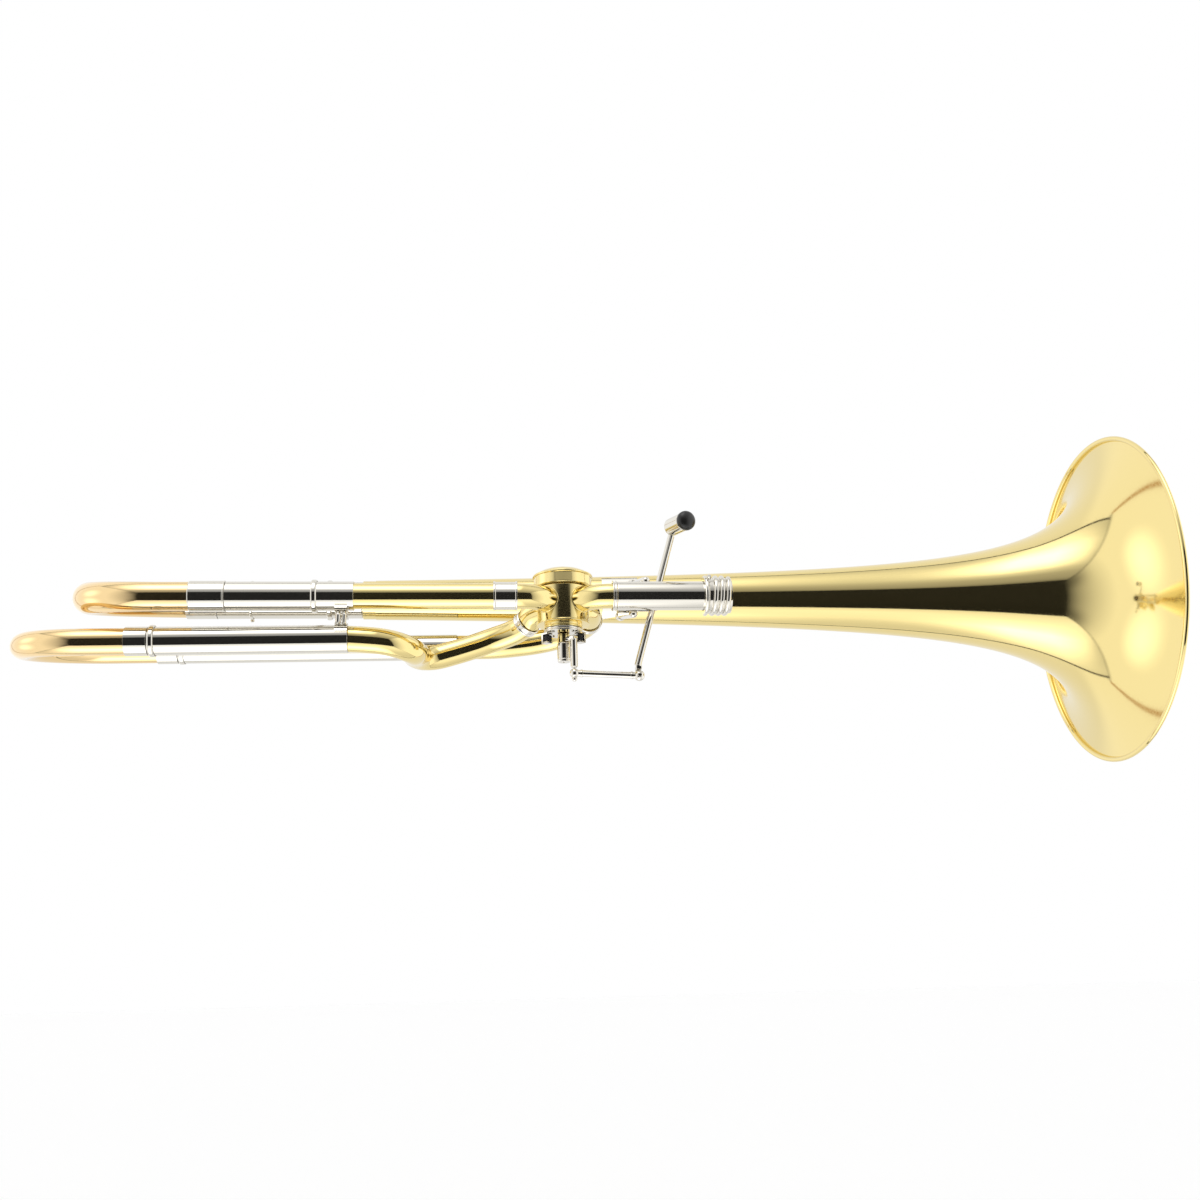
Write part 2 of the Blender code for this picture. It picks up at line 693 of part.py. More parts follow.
def make_f_tubing():
    """The two gold tubes between the F slide and the valve, and their valve knuckles."""
    spigot = 0.0040
    square = 0.0026
    runs = {
        "return": (return_places(), 14, near_leg(F_NEAR_END_X - spigot)),
        "feed": (feed_places(), 6, far_leg(F_FAR_END_X - spigot)),
    }
    for name, (places, split, start) in runs.items():
        route, cut, heading = smooth_route(places, split, 2)
        tube = [start, places[0] - F_AXIS * GAP] + route[:cut]
        tube += [route[cut] - heading * square, route[cut] - heading * GAP]
        radii = [F_INNER_R, F_INNER_R] + [F_TUBE_R] * (len(tube) - 2)
        bent_tube(f"f_{name}_tube", tube, radii, YELLOW_BRASS)
        sleeve(f"f_{name}_ferrule", route[cut], heading)
        bend = [route[cut] + heading * GAP, route[cut] + heading * square] + route[cut + 1:]
        knuckle(f"f_{name}_knuckle", bend)


# The rotary valve

def knuckle(name, route):
    """A bent tube whose end is cut to the valve casing's curve."""
    tube = bent_tube(name, route, [KNUCKLE_R] * len(route), YELLOW_BRASS)
    seat = rod("seat", CASING_R + GAP, 0.0300, -0.0300, VALVE_CENTRE, W_AXIS, None, 32)
    return combine(tube, [seat], "DIFFERENCE", YELLOW_BRASS)


def make_main_knuckles():
    """The two short bends that bring the bore line into the valve's front ports."""
    corner_run = KNUCKLE_STRAIGHT + KNUCKLE_BEND_R * math.tan(math.radians(22.5))
    ends = {"gooseneck_knuckle": (-1.0, -0.1320), "neckpipe_knuckle": (1.0, -0.0671)}
    for name, (side, end_x) in ends.items():
        outward = port_axis(side, -1.0)
        corner = VALVE_CENTRE + outward * corner_run
        end = Vector((end_x, corner.y, corner.z))
        corners = [VALVE_CENTRE + outward * 0.0100, corner, end]
        knuckle(name, tube_route(corners, [KNUCKLE_BEND_R]))


def make_casing():
    """The valve casing with its four ports and its lower boss."""
    outline = [
        (CASING_NECK_R, CASING_NECK_TOP), (CASING_NECK_R, CASING_TOP), (CASING_R, CASING_TOP),
        (CASING_R, CASING_BOTTOM), (BOSS_R, CASING_BOTTOM), (BOSS_R, BOSS_BOTTOM),
        (SPINDLE_R + GAP, BOSS_BOTTOM), (SPINDLE_R + GAP, CASING_FLOOR),
        (CASING_BORE_R, CASING_FLOOR), (CASING_BORE_R, CASING_NECK_TOP),
    ]
    casing = turned("valve_casing", outline, VALVE_CENTRE, W_AXIS, YELLOW_BRASS, 32)
    ports = []
    for side in (1.0, -1.0):
        ports.append(rod("port", PORT_R, 0.0300, -0.0300, VALVE_CENTRE, port_axis(side, 1.0), None))
    combine(casing, ports, "DIFFERENCE", YELLOW_BRASS)


def make_valve_cap():
    """The screwed cap over the valve's back bearing."""
    neck = CASING_NECK_R + GAP
    inside_top = CASING_NECK_TOP + GAP
    outline = [
        (0.0, CAP_BOSS_TOP), (0.0024, CAP_BOSS_TOP), (0.0028, CAP_BOSS_TOP - 0.0004),
        (0.0028, CAP_CROWN), (0.0085, CAP_CROWN - 0.0006), (0.0140, CAP_CROWN - 0.0019),
        (0.0166, CAP_SHOULDER + 0.0004), (CAP_LIP_R - 0.0003, CAP_SHOULDER),
        (CAP_LIP_R, CAP_SHOULDER - 0.0004), (CAP_LIP_R, CAP_SHOULDER - CAP_LIP),
        (CAP_WAIST_R, CAP_SHOULDER - CAP_LIP), (CAP_R, CAP_BOTTOM + 0.0003),
        (CAP_R - 0.0003, CAP_BOTTOM), (neck, CAP_BOTTOM),
        (neck, inside_top), (0.0, inside_top),
    ]
    turned("valve_cap", outline, VALVE_CENTRE, W_AXIS, YELLOW_BRASS, 32)


def make_rotor():
    """The rotor with its two curved passages, its back bearing and both pivots."""
    top, bottom = 0.0076, CASING_FLOOR + GAP
    radius = CASING_BORE_R - GAP
    outline = [
        (0.0, 0.0112), (0.0026, 0.0112), (0.0026, top), (radius, top), (radius, bottom),
        (SPINDLE_R, bottom), (SPINDLE_R, -0.0182), (SPINDLE_TIP_R, -0.0185),
        (SPINDLE_TIP_R, -0.0236), (0.0, -0.0236),
    ]
    rotor = turned("valve_rotor", outline, VALVE_CENTRE, W_AXIS, ROTOR_BRASS, 32)
    passages = []
    for side in (-1.0, 1.0):
        bpy.ops.mesh.primitive_torus_add(major_segments=24, minor_segments=10,
                                         major_radius=0.0123, minor_radius=0.0056)
        passage = bpy.context.object
        mesh = passage.data
        bpy.data.objects.remove(passage, do_unlink=True)
        mesh.transform(Matrix.Diagonal((1.0, 1.0, 1.15, 1.0)))
        tool = add_object("passage", mesh, None)
        centre = VALVE_CENTRE + V_AXIS * side * 0.0188
        tool.matrix_world = Matrix.Translation(centre) @ Matrix.Rotation(-VALVE_TILT, 4, "X")
        passages.append(tool)
    rotor = combine(rotor, passages, "DIFFERENCE", ROTOR_BRASS)
    ring("rotor_back_bearing", radius, 0.0029, 0.0109, top + GAP, VALVE_CENTRE, W_AXIS,
         ROTOR_BRASS, 32)
    return rotor


def make_stop_arm():
    """The stop arm with its hub and post, and the long nut that clamps it."""
    base = VALVE_CENTRE
    high, low = -0.0187, -0.0238
    hub = ring("stop_arm", 0.0036, SPINDLE_TIP_R + GAP, high, low, base, W_AXIS,
               NICKEL_SILVER)
    heading = (X_AXIS * math.cos(ARM_REST) + V_AXIS * math.sin(ARM_REST)).normalized()
    side = W_AXIS.cross(heading)
    middle = base + heading * 0.0066 + W_AXIS * (low + 0.0014)
    place = Matrix.Translation(middle) @ Matrix((heading, side, W_AXIS)).transposed().to_4x4()
    finger = block("finger", (0.0074, 0.0042, 0.0028), place, None)
    post = rod("post", POST_R, low + 0.0010, POST_BOTTOM, base + heading * ARM_R, W_AXIS, None)
    arm = combine(hub, [finger, post], "UNION", NICKEL_SILVER)
    nut = [
        (0.0, low - GAP), (0.0036, low - GAP), (0.0039, low - 0.0007), (0.0039, -0.0338),
        (0.0036, -0.0341), (0.0039, -0.0344), (0.0036, -0.0355), (0.0, -0.0355),
    ]
    nut = turned("stop_arm_nut", nut, base, W_AXIS, NICKEL_SILVER)
    return arm, nut


def make_stops():
    """The stop plate under the casing with its two bumpers in their holders."""
    ring("stop_plate", 0.0115, SPINDLE_R + GAP, BOSS_BOTTOM - GAP, -0.0182, VALVE_CENTRE, W_AXIS,
         NICKEL_SILVER, 24)
    stops = {"right": (ARM_REST, 1.0), "left": (ARM_PRESSED, -1.0)}
    for name, (limit, sense) in stops.items():
        radial = (X_AXIS * math.cos(limit) + V_AXIS * math.sin(limit)).normalized()
        away = W_AXIS.cross(radial) * sense
        across = radial.cross(away)
        turn = Matrix((radial, away, across)).transposed().to_4x4()
        middle = VALVE_CENTRE + radial * 0.0090 + away * 0.0045 - W_AXIS * 0.0216
        place = Matrix.Translation(middle + away * 0.0004) @ turn
        holder = block(f"bumper_holder_{name}", (0.0044, 0.0048, 0.0062), place, NICKEL_SILVER)
        pocket_place = Matrix.Translation(middle - away * 0.0010) @ turn
        pocket = block("pocket", (0.0060, 0.0052, 0.0044), pocket_place, None)
        combine(holder, [pocket], "DIFFERENCE", NICKEL_SILVER)
        pad_place = Matrix.Translation(middle - away * 0.0004) @ turn
        block(f"bumper_{name}", (0.0042, 0.0034, 0.0038), pad_place, BLACK_RUBBER)


# The linkage and the thumb lever

def lever_point(w):
    """A point on the lever rod's axis at a height above its pivot."""
    return tilted(LEVER_PIVOT_U + LEVER_SLOPE * w, linkage_v(), w)


def linkage_v():
    """Distance of the linkage's plane from the bore line."""
    return VALVE_V + ARM_R * math.sin(ARM_REST)


def make_lever():
    """The thumb lever: one straight rod through its hinge barrel, with a foot for the link."""
    pivot = tilted(LEVER_PIVOT_U, 0.0, 0.0)
    heading = (lever_point(LEVER_TOP_W) - lever_point(0.0)).normalized()
    high = (lever_point(LEVER_TOP_W) - lever_point(0.0)).length
    low = -(lever_point(LEVER_BOTTOM_W) - lever_point(0.0)).length
    lever = rod("trigger_lever", LEVER_ROD_R, high, low, lever_point(0.0), heading, NICKEL_SILVER)
    barrel = rod("barrel", HINGE_BARREL_R, 0.0195, 0.0103, pivot, V_AXIS, None, TUBE_SIDES)
    joint = tilted(LINK_RIGHT_U, linkage_v(), LINK_RIGHT_W)
    plane = Matrix((X_AXIS, V_AXIS, W_AXIS)).transposed().to_4x4()
    neck_place = Matrix.Translation(joint + V_AXIS * 0.0026 + W_AXIS * 0.0051) @ plane
    neck = block("neck", (0.0036, 0.0060, 0.0026), neck_place, None)
    foot_place = Matrix.Translation(joint + V_AXIS * 0.0044 + W_AXIS * 0.0021) @ plane
    foot = block("foot", (0.0036, 0.0016, 0.0078), foot_place, None)
    stud = rod("stud", 0.0012, 0.0040, -0.0034, joint, V_AXIS, None)
    lever = combine(lever, [barrel, neck, foot, stud], "UNION", NICKEL_SILVER)
    bore = rod("bore", HINGE_PIN_R + GAP, 0.0300, 0.0, pivot, V_AXIS, None)
    return combine(lever, [bore], "DIFFERENCE", NICKEL_SILVER)


def make_thumb_piece():
    """The barrel under the thumb and its black end cap."""
    back = tilted(-0.0313, 0.0131, 0.0467)
    front = tilted(-0.0240, -0.0060, 0.0452)
    axis = (front - back).normalized()
    end = (front - back).length
    barrel = [
        (0.0, end - 0.0040), (THUMB_BARREL_R, end - 0.0040), (THUMB_BARREL_R, 0.0010),
        (THUMB_BARREL_R - 0.0010, 0.0), (0.0, 0.0),
    ]
    cap = [
        (0.0, end + 0.0019), (0.0030, end + 0.0014), (0.0049, end + 0.0001),
        (THUMB_CAP_R, end - 0.0017), (THUMB_CAP_R, end - 0.0030), (THUMB_CAP_R - 0.0006, end - 0.0037),
        (0.0, end - 0.0037),
    ]
    barrel = turned("thumb_barrel", barrel, back, axis, NICKEL_SILVER)
    cap = turned("thumb_cap", cap, back, axis, BLACK_NYLON)
    return barrel, cap


def make_link():
    """The link rod with a ball end at each side, bored at the lever's side."""
    left = tilted(VALVE_U + ARM_R * math.cos(ARM_REST), linkage_v(), LINK_LEFT_W)
    right = tilted(LINK_RIGHT_U, linkage_v(), LINK_RIGHT_W)
    axis = (right - left).normalized()
    length = (right - left).length
    link = rod("link_rod", LINK_ROD_R, length, 0.0, left, axis, NICKEL_SILVER)
    ends = [
        ball("left_ball", LINK_LEFT_BALL_R, left, W_AXIS, None),
        ball("knob", 0.0016, left - W_AXIS * 0.0034, W_AXIS, None),
        ball("right_ball", LINK_RIGHT_BALL_R, right, V_AXIS, None),
    ]
    link = combine(link, ends, "UNION", NICKEL_SILVER)
    eye = rod("eye", 0.0015, 0.0060, -0.0060, right, V_AXIS, None)
    return combine(link, [eye], "DIFFERENCE", NICKEL_SILVER)


def make_hinge():
    """The lever's hinge pin, the plate that holds it and the return spring round the barrel."""
    pivot = tilted(LEVER_PIVOT_U, 0.0, 0.0)
    rod("trigger_hinge_pin", HINGE_PIN_R, 0.0245, 0.0102, pivot, V_AXIS, SPRING_STEEL)
    plate_v = 0.0218
    slope = math.tan(VALVE_TILT)
    sheet = 0.0016
    holes = [(LEVER_PIVOT_U, 0.0, HINGE_PIN_R + GAP)]
    for x, z in (BRACE_UPPER, BRACE_LOWER):
        holes.append((x, z / math.cos(VALVE_TILT) + plate_v * slope, BRACE_ROD_R + 2 * GAP))
    curve = bpy.data.curves.new("trigger_bracket", "CURVE")
    curve.dimensions = "2D"
    curve.fill_mode = "BOTH"
    curve.extrude = sheet / 2
    outline = [(-0.0620, -0.0100), (-0.0405, -0.0045), (-0.0400, 0.0045), (-0.0430, 0.0195),
               (-0.0530, 0.0195), (-0.0545, 0.0020), (-0.0620, -0.0010)]
    add_loop(curve, outline)
    for u, w, radius in holes:
        circle = []
        for index in range(SMALL_SIDES):
            angle = 2 * math.pi * index / SMALL_SIDES
            circle.append((u + radius * math.cos(angle), w + radius * math.sin(angle)))
        add_loop(curve, circle)
    plate = bpy.data.objects.new("trigger_bracket", curve)
    PARTS.objects.link(plate)
    turn = Matrix((X_AXIS, W_AXIS, -V_AXIS)).transposed().to_4x4()
    plate.matrix_world = Matrix.Translation(V_AXIS * plate_v) @ turn
    bpy.context.view_layer.update()
    settle(plate, NICKEL_SILVER)
    make_spring(pivot)


def add_loop(curve, outline):
    """Add one closed outline to a flat curve."""
    spline = curve.splines.new("POLY")
    spline.points.add(len(outline) - 1)
    spline.use_cyclic_u = True
    for point, (across, up) in zip(spline.points, outline):
        point.co = (across, up, 0.0, 1.0)


def make_spring(pivot):
    """The return spring: one unbroken wire in turns round the barrel, with two straight legs."""
    turns = 3.5
    coil_r = 0.0047
    wire_r = 0.0004
    pitch = 0.0013
    per_turn = 10
    count = round(turns * per_turn)
    start_v = 0.0144
    points = [spring_point(pivot, coil_r, math.pi / 2, start_v) + W_AXIS * 0.0 - X_AXIS * 0.0110]
    for index in range(count + 1):
        angle = math.pi / 2 - 2 * math.pi * index / per_turn
        points.append(spring_point(pivot, coil_r, angle, start_v + pitch * index / per_turn))
    points.append(points[-1] - X_AXIS * 0.0090)
    curve = bpy.data.curves.new("trigger_spring", "CURVE")
    curve.dimensions = "3D"
    curve.bevel_depth = wire_r
    curve.bevel_resolution = 1
    curve.use_fill_caps = True
    spline = curve.splines.new("POLY")
    spline.points.add(len(points) - 1)
    for point, place in zip(spline.points, points):
        point.co = (*place, 1.0)
    item = bpy.data.objects.new("trigger_spring", curve)
    PARTS.objects.link(item)
    bpy.context.view_layer.update()
    settle(item, SPRING_STEEL)
    least = pitch - 2 * wire_r
    print("trigger_spring: least gap between its turns", round(least * 1000, 2), "mm")


def spring_point(pivot, coil_r, angle, v):
    """A point of the spring's wire at an angle round the hinge and a distance along it."""
    return pivot + V_AXIS * v + X_AXIS * coil_r * math.cos(angle) + W_AXIS * coil_r * math.sin(angle)


# Braces

def make_bell_brace():
    """The pair of rods from the receiver to the bell, with a curved saddle at each end."""
    origin = Vector((0.0, 0.0, 0.0))
    low_x, high_x = NECK_SADDLE_X
    inner = RECEIVER_R + GAP
    outer = inner + SADDLE_SHEET
    saddle = ring("brace_neck_saddle", outer, inner, high_x, low_x, origin, X_AXIS, NICKEL_SILVER, 24)
    front = Matrix.Translation(((low_x + high_x) / 2, BRACE_START_Y - 0.0125, 0.0))
    cutter = block("front", (0.0400, 0.0250, 0.0400), front, None)
    combine(saddle, [cutter], "DIFFERENCE", NICKEL_SILVER)
    low_x, high_x = BELL_SADDLE_X
    bell_in = []
    bell_out = []
    for index in range(4):
        x = low_x + (high_x - low_x) * index / 3
        bell_in.append((bell_radius(x) + WALL / 2 + GAP, x))
        bell_out.append((bell_radius(x) + WALL / 2 + GAP + SADDLE_SHEET, x))
    outline = list(reversed(bell_out)) + bell_in
    saddle = turned("brace_bell_saddle", outline, BELL_CENTRE, X_AXIS, NICKEL_SILVER, 24)
    back = Matrix.Translation(((low_x + high_x) / 2, LEG_SPACING + 0.0170, 0.0))
    cutter = block("back", (0.0400, 0.0400, 0.0400), back, None)
    combine(saddle, [cutter], "DIFFERENCE", NICKEL_SILVER)
    for name, (x, z) in (("brace_upper_rod", BRACE_UPPER), ("brace_lower_rod", BRACE_LOWER)):
        base = Vector((x, 0.0, z))
        bar = rod(name, BRACE_ROD_R, LEG_SPACING - 0.0050, BRACE_START_Y, base, Y_AXIS, NICKEL_SILVER)
        neck_seat = rod("neck_seat", outer + GAP, 0.0, -0.0900, origin, X_AXIS, None, 24)
        reach = SADDLE_SHEET + 2 * GAP + WALL / 2
        cone = [
            (0.0, -0.0300), (bell_radius(-0.0300) + reach, -0.0300),
            (bell_radius(-0.0500) + reach, -0.0500), (bell_radius(-0.0700) + reach, -0.0700),
            (0.0, -0.0700),
        ]
        bell_seat = turned("bell_seat", cone, BELL_CENTRE, X_AXIS, None, 24)
        combine(bar, [neck_seat, bell_seat], "DIFFERENCE", NICKEL_SILVER)


def leg_brace(name, top_point, top_axis, top_r, low_point, low_axis, low_r):
    """A short brace between two tubes: a saddle on each and two leaning posts between them."""
    half = 0.0036
    top = ring(name, top_r + GAP + SADDLE_SHEET, top_r + GAP, half, -half, top_point, top_axis,
               NICKEL_SILVER)
    down = (low_point - top_point).normalized()
    side = top_axis.cross(down)
    frame = Matrix((top_axis, side, down)).transposed().to_4x4()
    keep = Matrix.Translation(top_point - down * (0.0200 - top_r * 0.55)) @ frame
    top = combine(top, [block("above", (0.0400, 0.0400, 0.0400), keep, None)], "DIFFERENCE", NICKEL_SILVER)
    low = ring("low", low_r + GAP + SADDLE_SHEET, low_r + GAP, half, -half, low_point, low_axis,
               NICKEL_SILVER)
    keep = Matrix.Translation(low_point + down * (0.0200 - low_r * 0.55)) @ frame
    low = combine(low, [block("below", (0.0400, 0.0400, 0.0400), keep, None)], "DIFFERENCE", NICKEL_SILVER)
    posts = []
    for first, last in ((-0.0013, -0.0025), (0.0019, 0.0010)):
        start = top_point + top_axis * first
        lean = low_point + top_axis * last - start
        stop = lean.length - low_r - GAP * 2
        posts.append(rod("post", 0.0010, stop, top_r + GAP * 2, start, lean.normalized(), None))
    return combine(top, [low] + posts, "UNION", NICKEL_SILVER)


def make_leg_braces():
    """The short braces that hang the F tubing's legs from the main slide's outer tubes."""
    x = -0.2265
    leg_brace("f_neck_brace", Vector((x, 0.0, 0.0)), X_AXIS, NECK_SLIDE_R, near_leg(x), F_AXIS, F_SLIDE_R)
    x = -0.2340
    leg_brace("f_bell_brace", Vector((x, LEG_SPACING, 0.0)), X_AXIS, BELL_SLIDE_R, far_leg(x), F_AXIS,
              F_SLIDE_R)


def build():
    """Make every piece, then carry the moving ones on their joint axes."""
    make_bell()
    make_rim_wire()
    make_receiver()
    make_neck_line()
    make_bell_slide()
    make_main_slide()
    make_f_slide()
    make_f_slide_sleeves()
    make_f_tubing()
    make_main_knuckles()
    make_casing()
    make_valve_cap()
    rotor = make_rotor()
    arm, nut = make_stop_arm()
    make_stops()
    lever = make_lever()
    barrel, cap = make_thumb_piece()
    link = make_link()
    make_hinge()
    make_bell_brace()
    make_leg_braces()
    joint_origin("rotor_axis", VALVE_CENTRE, [rotor, arm, nut])
    joint_origin("lever_axis", tilted(LEVER_PIVOT_U, linkage_v(), 0.0), [lever, barrel, cap])
    joint_origin("link_axis", tilted(LINK_RIGHT_U, linkage_v(), LINK_RIGHT_W), [link])


build()
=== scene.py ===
# %% [markdown]
# The bell section of a tenor trombone is soft-soldered together from drawn tubes, spun sheet and
# turned fittings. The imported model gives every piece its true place, so it is loaded first as a
# fixed frame. The finer pieces made below stand in the same places.

# %% Load the frame
import math

import bmesh
import bpy
from mathutils import Matrix, Quaternion, Vector
from mathutils.geometry import interpolate_bezier


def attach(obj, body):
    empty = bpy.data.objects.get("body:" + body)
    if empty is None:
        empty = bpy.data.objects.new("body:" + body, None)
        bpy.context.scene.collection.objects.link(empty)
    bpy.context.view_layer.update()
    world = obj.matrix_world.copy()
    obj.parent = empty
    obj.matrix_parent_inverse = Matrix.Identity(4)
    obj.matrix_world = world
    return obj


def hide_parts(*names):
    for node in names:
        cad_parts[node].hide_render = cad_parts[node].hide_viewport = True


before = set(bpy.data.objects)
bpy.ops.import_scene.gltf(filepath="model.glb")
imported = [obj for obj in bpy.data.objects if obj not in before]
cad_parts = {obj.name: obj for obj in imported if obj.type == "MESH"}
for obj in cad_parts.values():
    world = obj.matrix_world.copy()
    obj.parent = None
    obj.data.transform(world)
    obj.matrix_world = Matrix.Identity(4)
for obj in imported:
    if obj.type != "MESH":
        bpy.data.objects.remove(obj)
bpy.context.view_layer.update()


# %% [markdown]
# Colours are written as sRGB hex values, as a paint chart gives them. Blender's shaders add up
# light, so each value is turned to linear by one function. One more function adds a node to a
# tree, sets it and links it, because every material and Geometry Nodes tree needs just that.

# %% Colours and nodes
def linear(code):
    """A #rrggbb colour as linear red, green, blue and alpha."""
    parts = [int(code[index:index + 2], 16) / 255 for index in (1, 3, 5)]
    straight = [c / 12.92 if c <= 0.04045 else ((c + 0.055) / 1.055) ** 2.4 for c in parts]
    return (*straight, 1.0)


def add_node(tree, kind, settings=None, **links):
    """Add a node, set its properties and sockets, and feed its inputs from other nodes' outputs."""
    node = tree.nodes.new(kind)
    for name, value in (settings or {}).items():
        if hasattr(node, name):
            setattr(node, name, value)
        else:
            node.inputs[name].default_value = value
    for name, source in links.items():
        socket = node.inputs[int(name[3:])] if name.startswith("in_") else node.inputs[name]
        tree.links.new(getattr(source, "socket", source), socket)
    return node


# %% [markdown]
# Shaders and Geometry Nodes both do their sums with Math nodes. A long sum is hard to read as a
# list of nodes, so a number in a tree gets Python's own signs here, and each sign adds one node.

# %% Sums in a node tree
class Number:
    """A number in a node tree, on which + - * / and ** add Math nodes."""

    def __init__(self, tree, socket):
        self.tree, self.socket = tree, socket

    def math(self, operation, *values):
        """A Math node on these values, which may be plain numbers."""
        node = add_node(self.tree, "ShaderNodeMath", {"operation": operation})
        for entry, value in zip(node.inputs, values):
            if isinstance(value, Number):
                self.tree.links.new(value.socket, entry)
            else:
                entry.default_value = value
        return Number(self.tree, node.outputs["Value"])

    def __add__(self, other):
        return self.math("ADD", self, other)

    def __sub__(self, other):
        return self.math("SUBTRACT", self, other)

    def __rsub__(self, other):
        return self.math("SUBTRACT", other, self)

    def __mul__(self, other):
        return self.math("MULTIPLY", self, other)

    __rmul__ = __mul__

    def __truediv__(self, other):
        return self.math("DIVIDE", self, other)

    def __pow__(self, other):
        return self.math("POWER", self, other)

    def __abs__(self):
        return self.math("ABSOLUTE", self)


def number(tree, node, *labels):
    """The named outputs of a node as numbers for sums: one, or a list of several."""
    found = [Number(tree, node.outputs[label]) for label in labels]
    return found if len(found) > 1 else found[0]


# %% [markdown]
# Tubes and fittings are polished on a buff and then lacquered. That gives the eye sharp
# reflections that are broken by two faint things: a slow waviness left by drawing and buffing,
# and a fine haze of hairlines that only changes how rough the gloss is. Both come from noise on
# Object coordinates. Brass is a metal, so its colour is the reflection's colour.

# %% A polished metal
def new_material(name, colour, **settings):
    """A material with a Principled shader, and its tree and shader."""
    material = bpy.data.materials.new(name)
    material.use_nodes = True
    shader = material.node_tree.nodes["Principled BSDF"]
    shader.inputs["Base Color"].default_value = linear(colour)
    for label, value in settings.items():
        shader.inputs[label].default_value = value
    return material, material.node_tree, shader


def noise(tree, scale, detail):
    """Noise on Object coordinates, so that it stays on a moving piece."""
    place = add_node(tree, "ShaderNodeTexCoord")
    return add_node(tree, "ShaderNodeTexNoise", {"Scale": scale, "Detail": detail},
                    Vector=place.outputs["Object"]).outputs["Fac"]


def make_bumpy(tree, shader, height, strength, distance):
    """Tilt the surface by a height."""
    bump = add_node(tree, "ShaderNodeBump", {"Strength": strength, "Distance": distance},
                    Height=height)
    tree.links.new(bump.outputs["Normal"], shader.inputs["Normal"])


def polished_metal(name, colour, gloss, haze, wave_mm):
    """Buffed metal: gloss is its roughness, haze how much hairlines add, wave_mm its slow waves."""
    material, tree, shader = new_material(name, colour, Metallic=1.0)
    rough = add_node(tree, "ShaderNodeMapRange",
                     {"From Min": 0.35, "From Max": 0.75, "To Min": gloss, "To Max": gloss + haze},
                     Value=noise(tree, 900.0, 3.0))
    tree.links.new(rough.outputs["Result"], shader.inputs["Roughness"])
    make_bumpy(tree, shader, noise(tree, 1000.0 / wave_mm, 1.0), 0.25, 0.00008)
    return material


# Lacquered cartridge brass, spun or drawn and buffed: pale gold with soft-edged reflections
YELLOW_BRASS = polished_metal("lacquered_yellow_brass", "#ecd896", 0.06, 0.05, 26.0)
# Lacquered gold brass with more copper, bent on a mandrel: the same gloss, warmer
ROSE_BRASS = polished_metal("lacquered_rose_brass", "#edd09a", 0.06, 0.05, 22.0)
# Nickel silver, drawn hard and buffed: almost white, the sharpest reflections on the horn
NICKEL_SILVER = polished_metal("buffed_nickel_silver", "#dedad0", 0.045, 0.04, 30.0)
# Turned bearing brass, left from the tool: duller and a little darker
BEARING_BRASS = polished_metal("turned_bearing_brass", "#cfae68", 0.22, 0.10, 8.0)
# Hard-drawn spring wire
SPRING_WIRE = polished_metal("bright_spring_wire", "#b9b9bb", 0.16, 0.08, 8.0)
print("metals:", [m.name for m in (YELLOW_BRASS, ROSE_BRASS, NICKEL_SILVER)])


# %% [markdown]
# Two small things on the valve and lever are not metal: the bumpers of moulded nitrile rubber,
# matt and almost black, and the cap on the thumb piece, turned from black acetal with a satin
# gloss. Both are plain dielectrics with a fine grain.

# %% Rubber and acetal
def black_polymer(name, colour, gloss, grain_mm, depth):
    """A black moulding with a fine grain."""
    material, tree, shader = new_material(name, colour, Roughness=gloss, IOR=1.50)
    make_bumpy(tree, shader, noise(tree, 1000.0 / grain_mm, 2.0), 0.4, depth)
    return material


NITRILE_RUBBER = black_polymer("moulded_nitrile_rubber", "#141414", 0.70, 0.4, 0.00002)
BLACK_ACETAL = black_polymer("turned_black_acetal", "#181716", 0.32, 0.8, 0.00001)
print("polymers:", NITRILE_RUBBER.name, BLACK_ACETAL.name)


# %% [markdown]
# The valve, its knuckles and the thumb linkage are all leaned back 14 degrees from the plane of
# the horn, so that the lever falls under the thumb. Their places are given in that leaned frame,
# and one function turns them into places on the horn. The F tubing rises slightly towards the
# valve, and two more functions give places on the axes of its near and far legs. Places are in
# metres, as Blender has them, and the sizes of fittings in millimetres, as a workshop has them.

# %% Frames
MM = 0.001
TILT = math.radians(14.0)
F_RISE = math.radians(0.42)
F_MIDDLE_X = -0.306
ALONG = Vector((1.0, 0.0, 0.0))
ACROSS = Vector((0.0, 1.0, 0.0))
UP = Vector((0.0, 0.0, 1.0))
VALVE_ACROSS = Vector((0.0, math.cos(TILT), -math.sin(TILT)))
VALVE_UP = Vector((0.0, math.sin(TILT), math.cos(TILT)))
F_AXIS = Vector((math.cos(F_RISE), 0.0, math.sin(F_RISE)))
BORE_LINE = Vector((0.0, 0.0, 0.0))
BELL_LINE = Vector((0.0, 0.090, 0.0))


def leaned(u, v, w):
    """A place in the valve's leaned frame."""
    return ALONG * u + VALVE_ACROSS * v + VALVE_UP * w


def f_leg(side, x):
    """A place on the axis of the F tubing's near or far leg."""
    y, z = {"near": (0.0, -0.0252), "far": (0.084, -0.0314)}[side]
    return Vector((x, y, z + (x - F_MIDDLE_X) * math.tan(F_RISE)))


def along_f(x):
    """Millimetres along a leg from the place that its pieces are measured from."""
    return (x - F_MIDDLE_X) / math.cos(F_RISE) / MM


VALVE = leaned(-0.0976, 0.0182, 0.0)
print("valve axis passes", tuple(round(c * 1000, 1) for c in VALVE), "mm")


# %% [markdown]
# Most of the horn is turned or spun, so most pieces are an outline swept about an axis with the
# Screw modifier. A real fitting has no knife edges: the buff rounds them, and that roundness
# draws the thin bright lines which tell the eye where one ring ends and the next begins. So
# each corner of an outline is first replaced by a small arc. A second point close to each end of
# a long straight run keeps the smooth shading flat between the arcs.

